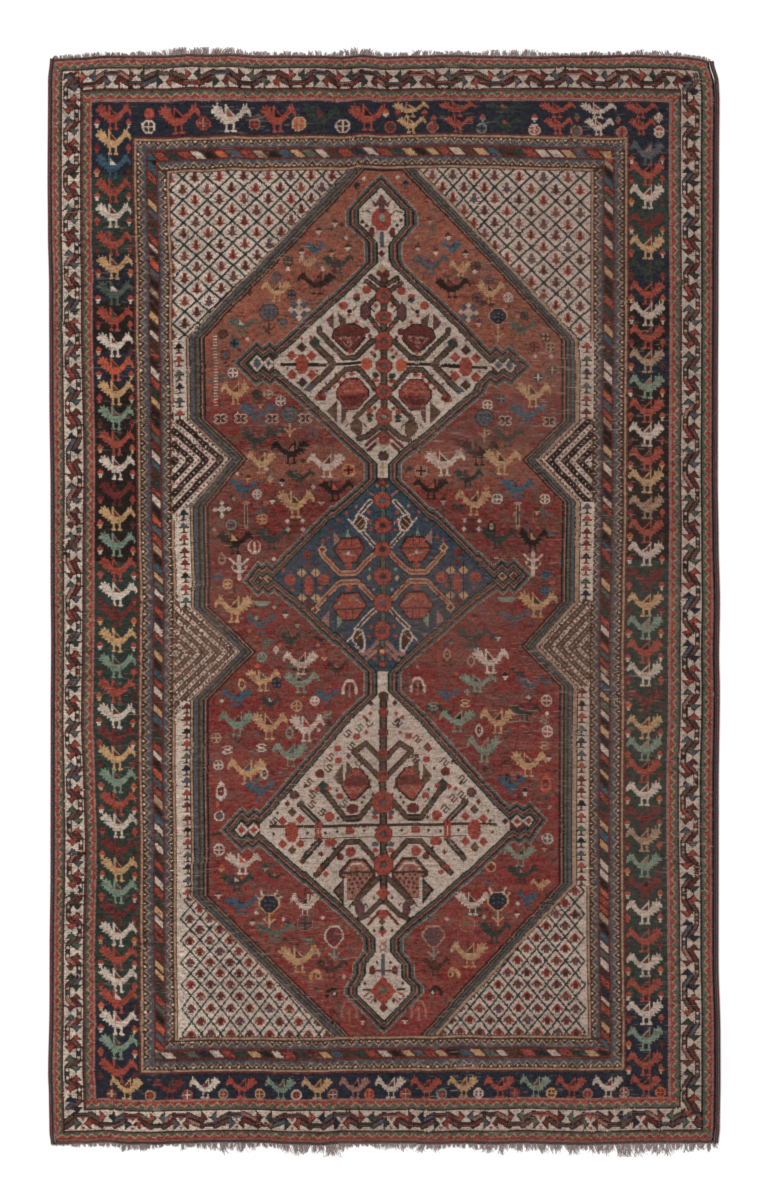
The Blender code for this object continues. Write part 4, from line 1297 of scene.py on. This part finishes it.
def linear(colour):
    """A colour as the eye reads it, 0 to 255, turned into amounts of light."""
    share = np.asarray(colour, float) / 255
    return np.where(share > 0.04045, ((share + 0.055) / 1.055) ** 2.4, share / 12.92)


# The field's red changes down the rug with each lot of wool: row, and how far towards orange rust
FIELD_LOTS = (
    (58, 0.8), (180, 0.95), (300, 1), (372, 0.95), (392, 0.75), (398, 0.1), (440, 0), (452, 0.75),
    (476, 0.9), (484, 0.35), (505, 0.1), (620, 0.12), (700, 0.05), (860, 0.1), (1142, 0.12),
)
# The plain madder red of each lot
MADDER_LOTS = ((58, (110, 46, 41)), (505, (103, 39, 36)), (590, (105, 41, 38)), (700, (111, 43, 40)),
               (860, (112, 43, 40)), (1020, (117, 43, 40)), (1142, (115, 43, 40)))
# Rubbed places: where they are, how far they reach across and down, and how much of the pile is gone
WORN_PLACES = (
    (192, 655, 34, 40, 0.4), (566, 645, 45, 46, 0.1), (575, 700, 25, 120, 0.15), (214, 560, 16, 120, 0.25),
    (350, 585, 110, 60, 0.16), (540, 390, 60, 60, 0.22), (455, 620, 60, 60, 0.25), (560, 250, 70, 80, 0.12),
    (380, 760, 70, 60, 0.16), (300, 420, 90, 14, 0.2), (470, 440, 90, 20, 0.25), (640, 700, 40, 300, 0.12),
)
RUST = (132, 74, 58)
WORN_THREADS = (80, 74, 65)
RUBBED_GROUND = (112, 84, 73)
BARE_WEFT = (150, 126, 112)
SOIL = (1.05, 1.7, 2.1)   # how strongly dirt takes red, green and blue out of pale wool


def stray_knots():
    """The chart as it was knotted, each knot a little off its square."""
    chance = np.random.default_rng(5)
    down = np.arange(ROWS)[:, None] + 0.15 * cloud(5, 8, 1) + 0.5 * cloud(14, 30, 2)
    along = np.arange(COLUMNS)[None, :] + 0.15 * cloud(5, 7, 3) + 0.5 * cloud(22, 20, 4)
    down = down + chance.uniform(-0.2, 0.2, down.shape)
    along = along + chance.uniform(-0.2, 0.2, along.shape)
    rows = np.clip(np.round(down).astype(int), 0, ROWS - 1)
    columns = np.clip(np.round(along).astype(int), 0, COLUMNS - 1)
    pile = chart[PILE_TOP:PILE_TOP + ROWS, PILE_LEFT:PILE_LEFT + COLUMNS]
    return pile[rows, columns]


def dye_knots(knots):
    chance = np.random.default_rng(7)
    colour = linear([value for _, value in DYES.values()])[knots]
    lots = np.interp(np.arange(ROWS) + PILE_TOP, *np.array(FIELD_LOTS).T)[:, None]
    lots = np.clip(lots + 0.25 * cloud(5, 90, 8) + 0.2 * cloud(2, 40, 9), 0, 1)[..., None]
    lot_rows, lot_reds = zip(*MADDER_LOTS)
    madder = [np.interp(np.arange(ROWS) + PILE_TOP, lot_rows, part) for part in zip(*lot_reds)]
    madder = linear(np.stack(madder, -1))[:, None]
    field_red = madder + (linear(RUST) - madder) * lots
    in_field = knots == CODES["F"]
    colour = np.where(in_field[..., None], field_red, colour)
    # Grey and green threads show between the worn tufts of the field
    between = np.clip(0.16 + 0.55 * cloud(1.6, 2.8, 22) + 0.3 * cloud(11, 15, 23), 0, 0.66)
    between = between * in_field
    colour = colour + (linear(WORN_THREADS) - colour) * between[..., None]
    shade = 1 + 0.06 * cloud(2, 120, 10) + 0.12 * cloud(1, 5, 11) + 0.08 * cloud(50, 40, 12)
    shade = shade + 0.1 * cloud(1.6, 2.2, 17)
    shade = shade + chance.normal(0, 0.23, shade.shape) + 0.3 * np.clip(cloud(1.5, 3.5, 18), -1, 0.4)
    # Painted shade: some weft rows lie deeper, and the shade they would catch is painted in as darker rows,
    # most of all in the ivory
    deep_row_shade = chance.uniform(0, 1, (ROWS, 1)) * (0.1 + 0.16 * (knots == CODES["W"]))
    shade = shade + 0.05 - deep_row_shade
    colour = colour * np.clip(shade, 0.35, 1.7)[..., None]
    # The pale wool has greyed, most of all in the middle and on the right
    soil = np.interp(np.arange(COLUMNS) + PILE_LEFT, (54, 210, 330, 714), (0, 0.12, 0.5, 0.62))[None, :, None]
    soil = np.clip(soil + 0.12 * cloud(60, 60, 19)[..., None], 0, 1)
    colour = colour / (1 + soil * colour * SOIL)
    # The figures in the field are rubbed, so some of the red shows through them
    field = whole_mask(FIELD_OUTLINE) & ~whole_mask(MEDALLION_OUTLINE)
    field = field[PILE_TOP:PILE_TOP + ROWS, PILE_LEFT:PILE_LEFT + COLUMNS] & ~in_field
    rubbed = np.clip(0.14 + 0.3 * cloud(2, 7, 20) + 0.12 * cloud(40, 40, 21), 0, 0.6) * field
    rubbed = rubbed[..., None] * np.clip(0.1 + 4 * colour[..., :1], 0, 1)
    colour = colour + (field_red - colour) * rubbed
    x = np.arange(COLUMNS)[None, :] + PILE_LEFT
    y = np.arange(ROWS)[:, None] + PILE_TOP
    for at_x, at_y, wide, high, gone in WORN_PLACES:
        away = ((x - at_x) / wide) ** 2 + ((y - at_y) / high) ** 2
        rubbed = gone * np.clip(1.3 - away, 0, 1) * np.clip(0.75 + 0.5 * cloud(2, 9, int(at_x)), 0, 1)
        colour = colour + (linear(RUBBED_GROUND) - colour) * rubbed[..., None]
    # Bare wefts: short dashes, more of them in the worn places
    worn = np.clip(0.25 + 0.5 * cloud(90, 80, 13) + 0.3 * cloud(30, 45, 14), 0, 1)
    dashes = np.clip(cloud(1.0, 5, 15) + cloud(1.2, 9, 16) - 0.75, 0, 1)
    bare = np.clip(worn * dashes * 0.9, 0, 0.6)[..., None]
    colour = colour + (linear(BARE_WEFT) - colour) * bare
    # Neighbouring tufts lean into each other
    soft = colour.copy()
    soft[1:-1, 1:-1] = (colour[:-2, 1:-1] + colour[2:, 1:-1] + colour[1:-1, :-2] + colour[1:-1, 2:]) / 4
    return np.clip(colour * 0.74 + soft * 0.26, 0.004, 0.9) / LIGHT


pile_colours = dye_knots(stray_knots())
print("knots dyed:", pile_colours.shape[:2], "mean light", pile_colours.mean((0, 1)).round(3).tolist())

# %% [markdown]
# ## Small helpers for materials and pieces
#
# Every piece is a plain mesh at the origin, with its own material made of nodes, and rides on the rug's one
# body. The helpers below add a node with its settings and join sockets by name.

# %% Helpers


def add_node(tree, kind, inputs=(), **settings):
    made = tree.nodes.new(kind)
    for name, value in settings.items():
        setattr(made, name, value)
    for name, value in dict(inputs).items():
        if isinstance(value, bpy.types.NodeSocket):
            tree.links.new(value, made.inputs[name])
        else:
            made.inputs[name].default_value = value
    return made


def sums(tree, operation, a, b=0.0):
    return add_node(tree, "ShaderNodeMath", {0: a, 1: b}, operation=operation).outputs[0]


def mixed_colour(tree, factor, first, second, **settings):
    """Blends two colours. The Mix node has sockets of the same name, so they go by their numbers."""
    mix = add_node(tree, "ShaderNodeMix", {0: factor, 6: first, 7: second}, data_type="RGBA", **settings)
    return mix.outputs[2]


def new_material(name, roughness=0.95, sheen=0.15):
    material = bpy.data.materials.new(name)
    material.use_nodes = True
    tree = material.node_tree
    wool = tree.nodes["Principled BSDF"]
    for socket, value in (("Roughness", roughness), ("Specular IOR Level", 0.05), ("Sheen Weight", sheen),
                          ("Sheen Roughness", 0.6)):
        wool.inputs[socket].default_value = value
    return material, tree, wool


def put(name, data):
    """An object with this data, in the scene."""
    made = bpy.data.objects.new(name, data)
    bpy.context.scene.collection.objects.link(made)
    return made


def mesh_piece(name, points, faces, material, smooth=True):
    mesh = bpy.data.meshes.new(name)
    mesh.from_pydata([tuple(p) for p in points], [], [tuple(f) for f in faces])
    mesh.materials.append(material)
    if smooth:
        mesh.shade_smooth()
    return put(name, mesh)


print("helpers ready")

# %% [markdown]
# ## Wool material of the pile
#
# One face of the pile mesh holds a block of four by four knots, as sixteen colours. The material reads which
# knot of the block it is looking at from the loom map, whose units are whole knots, and picks that colour.
# A fine bump gives each knot its tuft and each weft row its rib.

# %% Pile material
KNOTS_A_FACE = 4


def pile_material():
    material, tree, wool = new_material("knotted wool pile", sheen=0.02)
    loom = add_node(tree, "ShaderNodeUVMap", uv_map="loom")
    parts = add_node(tree, "ShaderNodeSeparateXYZ", {0: loom.outputs[0]})
    column = sums(tree, "MULTIPLY", parts.outputs[0], float(COLUMNS))
    row = sums(tree, "MULTIPLY", sums(tree, "SUBTRACT", 1.0, parts.outputs[1]), float(ROWS))
    column_in = sums(tree, "MODULO", column, float(KNOTS_A_FACE))
    row_in = sums(tree, "MODULO", row, float(KNOTS_A_FACE))

    def choose(options, value):
        chosen = options[0]
        for i, option in enumerate(options[1:], 1):
            chosen = mixed_colour(tree, sums(tree, "GREATER_THAN", value, float(i)), chosen, option)
        return chosen

    rows = []
    for i in range(KNOTS_A_FACE):
        names = [f"knot_{i}{j}" for j in range(KNOTS_A_FACE)]
        knots = [add_node(tree, "ShaderNodeAttribute", attribute_name=name) for name in names]
        rows.append(choose([knot.outputs["Color"] for knot in knots], column_in))
    tree.links.new(choose(rows, row_in), wool.inputs["Base Color"])

    across, down = [sums(tree, "ABSOLUTE", sums(tree, "SINE", sums(tree, "MULTIPLY", knots, math.pi)))
                    for knots in (column, row)]
    tuft = sums(tree, "MULTIPLY", sums(tree, "POWER", across, 0.6), sums(tree, "POWER", down, 0.5))
    spot = add_node(tree, "ShaderNodeCombineXYZ", {0: column, 1: row}).outputs[0]
    fibres = add_node(tree, "ShaderNodeTexNoise", {"Vector": spot, "Scale": 1.7, "Detail": 3.0})
    height = sums(tree, "ADD", tuft, sums(tree, "MULTIPLY", fibres.outputs[0], 0.8))
    bump = add_node(tree, "ShaderNodeBump", {"Strength": 0.35, "Distance": 0.0009, "Height": height})
    tree.links.new(bump.outputs[0], wool.inputs["Normal"])
    return material


pile_wool = pile_material()
print("pile material nodes:", len(pile_wool.node_tree.nodes))

# %% [markdown]
# ## The pile
#
# The pile is one closed piece of cloth: a front with the knots, a back that shows the same pattern, as a
# knotted rug's does, and a rim. Its rim is lowered a little, as wear does, and the whole follows the uneven
# edges and the wandering borders.

# %% Pile mesh


def build_pile():
    down = np.arange(0, ROWS + 1, KNOTS_A_FACE, dtype=float)
    over = np.arange(0, COLUMNS + 1, KNOTS_A_FACE, dtype=float)
    columns, rows = np.meshgrid(over, down)
    across, along = wander(columns, rows)
    x, y = cloth_point(across, along, CORDS_WIDTH, BAND_WIDTH + GAP)
    high, wide = columns.shape
    chance = np.random.default_rng(19)
    top = PILE_HEIGHT - 0.0004 - 0.0004 * chance.random(columns.shape)
    for rim, drop in enumerate(RIM_WEAR):
        top[rim] -= drop
        top[-1 - rim] -= drop
        top[:, rim] -= drop
        top[:, -1 - rim] -= drop
    front = np.stack([x, y, top], -1).reshape(-1, 3)
    back = np.stack([x, y, np.full_like(x, GAP)], -1).reshape(-1, 3)
    number = np.arange(high * wide).reshape(high, wide)
    shift = high * wide
    a, b, c, d = number[:-1, :-1], number[1:, :-1], number[1:, 1:], number[:-1, 1:]
    front_faces = np.stack([a, b, c, d], -1).reshape(-1, 4)
    back_faces = np.stack([a, d, c, b], -1).reshape(-1, 4) + shift
    rims = []
    blocks = []
    block_number = np.arange((high - 1) * (wide - 1)).reshape(high - 1, wide - 1)
    for line, beside in ((number[0], block_number[0]), (number[:, -1], block_number[:, -1]),
                         (number[-1][::-1], block_number[-1][::-1]),
                         (number[:, 0][::-1], block_number[:, 0][::-1])):
        rims.append(np.stack([line[:-1], line[1:], line[1:] + shift, line[:-1] + shift], -1))
        blocks.append(beside)
    faces = np.concatenate([front_faces, back_faces, *rims])
    pile = mesh_piece("knotted_pile", np.concatenate([front, back]), faces, pile_wool)
    source = np.concatenate([block_number.ravel(), block_number.ravel(), *blocks])
    cells = pile_colours.reshape(high - 1, KNOTS_A_FACE, wide - 1, KNOTS_A_FACE, 3)
    for i in range(KNOTS_A_FACE):
        for j in range(KNOTS_A_FACE):
            values = np.ones((len(source), 4), np.float32)
            values[:, :3] = cells[:, i, :, j].reshape(-1, 3)[source]
            layer = pile.data.attributes.new(f"knot_{i}{j}", "FLOAT_COLOR", "FACE")
            layer.data.foreach_set("color", values.ravel())
    loom = pile.data.uv_layers.new(name="loom")
    share = np.stack([columns / COLUMNS, 1 - rows / ROWS], -1).reshape(-1, 2)
    share = np.concatenate([share, share]).astype(np.float32)
    loom.data.foreach_set("uv", share[faces.ravel()].ravel())
    return pile


pile = build_pile()
print("pile faces:", len(pile.data.polygons))

# %% [markdown]
# ## Wound yarn
#
# The side cords are wrapped closely with wool, and the fringes are loose warp ends. Both are yarn that
# follows a line, so one Geometry Nodes tree makes them: it lays points along the line, sweeps a round section
# along it, and pinches every second ring for the grooves between turns. It also stores a shade for each
# thread.

# %% Yarn tree


def yarn_tree():
    tree = bpy.data.node_groups.new("Wound yarn", "GeometryNodeTree")
    face = tree.interface
    face.new_socket("Geometry", in_out="OUTPUT", socket_type="NodeSocketGeometry")
    face.new_socket("Line", in_out="INPUT", socket_type="NodeSocketGeometry")
    for name, value, kind in (("Thickness", 0.005, "Float"), ("Turn", 0.0012, "Float"),
                              ("Groove", 0.15, "Float"), ("Taper", 0.0, "Float"), ("Sides", 8, "Int"),
                              ("Seed", 0, "Int")):
        face.new_socket(name, in_out="INPUT", socket_type=f"NodeSocket{kind}").default_value = value
    face.new_socket("Wool", in_out="INPUT", socket_type="NodeSocketMaterial")
    given = tree.nodes.new("NodeGroupInput").outputs
    laid = add_node(tree, "GeometryNodeResampleCurve", {"Curve": given["Line"], "Length": given["Turn"]},
                    mode="LENGTH")
    index = tree.nodes.new("GeometryNodeInputIndex").outputs[0]
    groove = sums(tree, "MULTIPLY", sums(tree, "MODULO", index, 2.0), given["Groove"])
    along = tree.nodes.new("GeometryNodeSplineParameter").outputs["Factor"]
    taper = sums(tree, "MULTIPLY", along, given["Taper"])
    size = sums(tree, "SUBTRACT", sums(tree, "SUBTRACT", 1.0, groove), taper)
    any_shade = add_node(tree, "FunctionNodeRandomValue", {"ID": index, "Seed": given["Seed"]},
                         data_type="FLOAT")
    shaded = add_node(tree, "GeometryNodeStoreNamedAttribute",
                      {"Geometry": laid.outputs[0], "Name": "shade", "Value": any_shade.outputs[1]},
                      data_type="FLOAT", domain="CURVE")
    turned = add_node(tree, "GeometryNodeStoreNamedAttribute",
                      {"Geometry": shaded.outputs[0], "Name": "turn", "Value": any_shade.outputs[1]},
                      data_type="FLOAT", domain="POINT")
    ring = add_node(tree, "GeometryNodeCurvePrimitiveCircle",
                    {"Resolution": given["Sides"], "Radius": sums(tree, "MULTIPLY", given["Thickness"], 0.5)})
    swept = add_node(tree, "GeometryNodeCurveToMesh",
                     {"Curve": turned.outputs[0], "Profile Curve": ring.outputs[0], "Scale": size,
                      "Fill Caps": True})
    rounded = add_node(tree, "GeometryNodeSetShadeSmooth", {"Geometry": swept.outputs[0]})
    real = add_node(tree, "GeometryNodeRealizeInstances", {"Geometry": rounded.outputs[0]})
    dressed = add_node(tree, "GeometryNodeSetMaterial",
                       {"Geometry": real.outputs[0], "Material": given["Wool"]})
    out = tree.nodes.new("NodeGroupOutput")
    tree.links.new(dressed.outputs[0], out.inputs[0])
    return tree


def spin(name, lines, tree, **inputs):
    """Turns lines of points into a plain mesh of yarn."""
    curve = bpy.data.curves.new(name + " line", "CURVE")
    curve.dimensions = "3D"
    for line in lines:
        spline = curve.splines.new("POLY")
        spline.points.add(len(line) - 1)
        spline.points.foreach_set("co", np.c_[line, np.ones(len(line))].ravel())
    guide = put(name + " line", curve)
    modifier = guide.modifiers.new("yarn", "NODES")
    modifier.node_group = tree
    sockets = {item.name: item.identifier for item in tree.interface.items_tree if item.in_out == "INPUT"}
    for label, value in inputs.items():
        modifier[sockets[label]] = value
    mesh = bpy.data.meshes.new_from_object(guide.evaluated_get(bpy.context.evaluated_depsgraph_get()))
    bpy.data.objects.remove(guide)
    mesh.name = name
    return put(name, mesh)


yarn = yarn_tree()
print("yarn tree nodes:", len(yarn.nodes))

# %% [markdown]
# ## Side cords
#
# Two cords run down each side, the outer one wrapped in maroon wool and the inner one in dark brown.

# %% Cords


def yarn_material(name, dark, light, spot=0.5):
    """Wool in two shades, told apart turn by turn, with a soft change along its length."""
    material, tree, wool = new_material(name)
    turn = add_node(tree, "ShaderNodeAttribute", attribute_name="turn")
    shade = add_node(tree, "ShaderNodeAttribute", attribute_name="shade")
    place_at = add_node(tree, "ShaderNodeTexCoord")
    spot_at = place_at.outputs["Object"]
    blotch = add_node(tree, "ShaderNodeTexNoise", {"Vector": spot_at, "Scale": 9.0, "Detail": 4.0})
    mixed = sums(tree, "ADD", sums(tree, "MULTIPLY", turn.outputs["Fac"], 0.35),
                 sums(tree, "MULTIPLY", shade.outputs["Fac"], spot))
    patches = sums(tree, "MULTIPLY", sums(tree, "SUBTRACT", blotch.outputs[0], 0.35), 0.8)
    mixed = sums(tree, "ADD", mixed, patches)
    shades = [(*(linear(colour) / LIGHT), 1) for colour in (dark, light)]
    tree.links.new(mixed_colour(tree, mixed, *shades, clamp_factor=True), wool.inputs["Base Color"])
    hairs = add_node(tree, "ShaderNodeTexNoise", {"Vector": spot_at, "Scale": 900.0, "Detail": 2.0})
    bump = add_node(tree, "ShaderNodeBump", {"Strength": 0.4, "Distance": 0.0004, "Height": hairs.outputs[0]})
    tree.links.new(bump.outputs[0], wool.inputs["Normal"])
    return material


def cord_line(side, offset):
    """The middle line of a cord so far inside the cloth's side edge."""
    along = np.linspace(0, 1, 240)
    x, y = cloth_point(np.full_like(along, 0.0 if side == "left" else 1.0), along)
    x = x + (offset if side == "left" else -offset)
    return np.c_[x, y, np.full_like(along, CORD_DIAMETER / 2)]


maroon_yarn = yarn_material("maroon wrapping wool", (70, 34, 36), (112, 62, 60))
brown_yarn = yarn_material("dark brown wrapping wool", (36, 27, 26), (66, 46, 43))
cords = []
for side in ("left", "right"):
    for place_name, offset, wool, slot in (
            ("outer", 0.5 * CORD_DIAMETER, maroon_yarn, "red_cord_wool"),
            ("inner", 1.5 * CORD_DIAMETER + GAP, brown_yarn, "dark_cord_wool")):
        cord = spin(f"{side}_{place_name}_cord", [cord_line(side, offset)], yarn, Thickness=CORD_DIAMETER,
                    Turn=0.0013, Groove=0.14, Sides=8, Seed=len(cords), Wool=wool)
        cords.append((cord, f"cord_{side}_{place_name}", slot))
print("cords:", [(piece.name, len(piece.data.polygons)) for piece, _, _ in cords])

# %% [markdown]
# ## Fringes
#
# At each end a narrow flat-woven band closes the cloth, and the warp ends come out of it. They lie flat on
# the floor, a little clumped, leaning this way and that, and worn to different lengths along the rug.

# %% Fringe lengths
# Share of the width and mean length in millimetres
TOP_FRINGE = (
    (0, 7), (0.05, 12), (0.1, 9), (0.16, 11), (0.2, 18), (0.25, 20), (0.29, 13), (0.33, 14), (0.36, 9),
    (0.42, 13), (0.47, 19), (0.51, 9), (0.54, 14), (0.6, 10), (0.66, 12), (0.72, 17), (0.78, 10),
    (0.85, 10), (0.92, 11), (1, 6),
)
BOTTOM_FRINGE = (
    (0, 5), (0.05, 8), (0.09, 14), (0.13, 15), (0.17, 8), (0.21, 16), (0.26, 24), (0.3, 20), (0.34, 13),
    (0.37, 27), (0.42, 29), (0.45, 8), (0.5, 15), (0.55, 20), (0.61, 10), (0.67, 20), (0.73, 20),
    (0.77, 27), (0.8, 15), (0.84, 31), (0.91, 29), (0.95, 24), (1, 16),
)
STRANDS = 2300
STRAND_THICKNESS = 0.0013
ROOT = 0.0030             # how far inside the band's edge a strand starts


def strand_lines(end, lengths, seed):
    """Lines for the warp ends of one fringe, lying just above the floor."""
    chance = np.random.default_rng(seed)
    lines = []
    limit = TOP_Y + FRINGE_TOP_REACH if end == "top" else BOTTOM_Y - FRINGE_BOTTOM_REACH
    way = 1 if end == "top" else -1
    clump_at = np.cumsum(chance.uniform(0.002, 0.009, 2 * STRANDS))
    clump_at = clump_at[clump_at < 1]
    clump_lean = chance.normal(0, 0.3, len(clump_at))
    clump_size = chance.uniform(0.5, 1.2, len(clump_at))
    for share in np.sort(chance.uniform(0.004, 0.996, STRANDS)):
        group = int(np.argmin(np.abs(clump_at - share)))
        x, y = (float(v) for v in cloth_point(share, 1.0 if end == "top" else 0.0))
        x_group = (clump_at[group] - share) * WIDTH
        length = float(read_table(lengths, share)) * clump_size[group] * chance.uniform(0.5, 1.1)
        lean = clump_lean[group] + chance.normal(0, 0.18)
        pull = chance.uniform(0.2, 0.8)
        curl = chance.normal(0, 0.25)
        steps = np.linspace(0, 1, 6)
        out = -ROOT + (length + ROOT) * steps
        side = x_group * pull * steps ** 1.5 + length * (lean * steps + curl * steps ** 2)
        ys = y + way * out * math.cos(min(abs(lean), 0.9) * 0.8)
        ys = np.minimum(ys, limit) if way > 0 else np.maximum(ys, limit)
        z = STRAND_THICKNESS / 2 + 0.0001 + (1 - steps) * 0.0012 + chance.uniform(0, 0.0009)
        lines.append(np.c_[np.clip(x + side, -WIDTH / 2, WIDTH / 2), ys, z])
    return lines


def end_band(end, material):
    """The flat-woven band, as a closed strip between the pile and the warp ends."""
    stations = 420
    share = np.linspace(0.0, 1.0, stations)
    along = np.full_like(share, 1.0 if end == "top" else 0.0)
    rows = []
    for inset, z in ((0, GAP), (0, 0.0020), (0.0012, 0.0030), (0.0048, 0.0032), (BAND_WIDTH, 0.0024),
                     (BAND_WIDTH, GAP)):
        x, y = cloth_point(share, along, CORDS_WIDTH, inset)
        rows.append(np.c_[x, y, np.full_like(x, z)])
    points = np.concatenate(rows)
    faces = []
    for r in range(len(rows)):
        for s in range(stations - 1):
            a, b = r * stations + s, ((r + 1) % len(rows)) * stations + s
            faces.append((a, a + 1, b + 1, b) if end == "bottom" else (a, b, b + 1, a + 1))
    first = [r * stations for r in range(len(rows))]
    last = [r * stations + stations - 1 for r in range(len(rows))]
    faces.append(first if end == "bottom" else first[::-1])
    faces.append(last[::-1] if end == "bottom" else last)
    return mesh_piece(f"{end}_band", points, faces, material)


def join(pieces, name):
    first = pieces[0]
    with bpy.context.temp_override(active_object=first, selected_editable_objects=pieces, object=first):
        bpy.ops.object.join()
    first.name = name
    return first


warp_yarn = yarn_material("warp wool", (96, 74, 69), (172, 152, 145), spot=0.8)
band_wool = yarn_material("flat-woven band wool", (62, 44, 42), (128, 96, 88))
fringes = []
for end, lengths, seed in (("top", TOP_FRINGE, 31), ("bottom", BOTTOM_FRINGE, 32)):
    strands = spin(f"{end}_strands", strand_lines(end, lengths, seed), yarn, Thickness=STRAND_THICKNESS,
                   Turn=0.004, Groove=0.0, Taper=0.45, Sides=3, Seed=seed, Wool=warp_yarn)
    fringes.append((join([end_band(end, band_wool), strands], f"{end}_fringe"), f"fringe_{end}"))
print("fringes:", [(piece.name, len(piece.data.polygons)) for piece, _ in fringes])

# %% [markdown]
# ## Putting the pieces in place
#
# The visual pieces take the places of the imported solids, which are hidden, and ride on the rug's one body.
# A pale floor lies under them.

# %% Pieces and floor
FLOOR_WIDTH = 8.0


def build_floor():
    material, tree, paint = new_material("pale floor", roughness=0.9, sheen=0.0)
    place_at = add_node(tree, "ShaderNodeTexCoord")
    speckle = add_node(tree, "ShaderNodeTexNoise", {"Vector": place_at.outputs["Object"], "Scale": 3.0})
    greys = (0.95, 0.95, 0.95, 1), (0.97, 0.97, 0.97, 1)
    tree.links.new(mixed_colour(tree, speckle.outputs[0], *greys), paint.inputs["Base Color"])
    half = FLOOR_WIDTH / 2
    return mesh_piece("pale_floor", [(-half, -half, 0), (half, -half, 0), (half, half, 0), (-half, half, 0)],
                      [(0, 1, 2, 3)], material, smooth=False)


floor = build_floor()
for piece, node, slot in [(pile, "pile", "pile_wool"), *cords, *[(f, n, "warp_wool") for f, n in fringes]]:
    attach(piece, "root")
    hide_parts(node)
print("pieces:", [piece.name for piece, *_ in cords + fringes] + [pile.name])

# %% [markdown]
# ## Light and camera
#
# Catalogue pictures of rugs are lit evenly. A bright, even sky does most of the work, and one large soft lamp
# from the upper left brings out the ribs. The camera looks straight down through a long lens.

# %% Light and camera
sky = bpy.data.worlds.new("even studio light")
sky.use_nodes = True
glow = sky.node_tree.nodes["Background"].inputs
glow["Color"].default_value = (1, 1, 1, 1)
glow["Strength"].default_value = 0.75
bpy.context.scene.world = sky

lamp = bpy.data.lights.new("large soft lamp", "SUN")
lamp.energy = 1.9
lamp.angle = math.radians(25)
lamp_holder = put("large soft lamp", lamp)
lamp_holder.rotation_euler = (math.radians(-38), math.radians(-30), 0)

FRAME_HEIGHT = 2.8213     # how much of the floor the picture takes in, lengthways
CAMERA_HEIGHT = 12.0
eye = bpy.data.cameras.new("camera above")
eye.sensor_width = 36
eye.lens = 36 * CAMERA_HEIGHT / FRAME_HEIGHT
eye.clip_end = 100
holder = put("camera above", eye)
holder.location = (0.0001, -0.0002, CAMERA_HEIGHT + PILE_HEIGHT)
bpy.context.scene.camera = holder
bpy.context.scene.view_settings.view_transform = "Standard"
bpy.context.scene.view_settings.look = "None"
print("lens", round(eye.lens, 1), "mm")
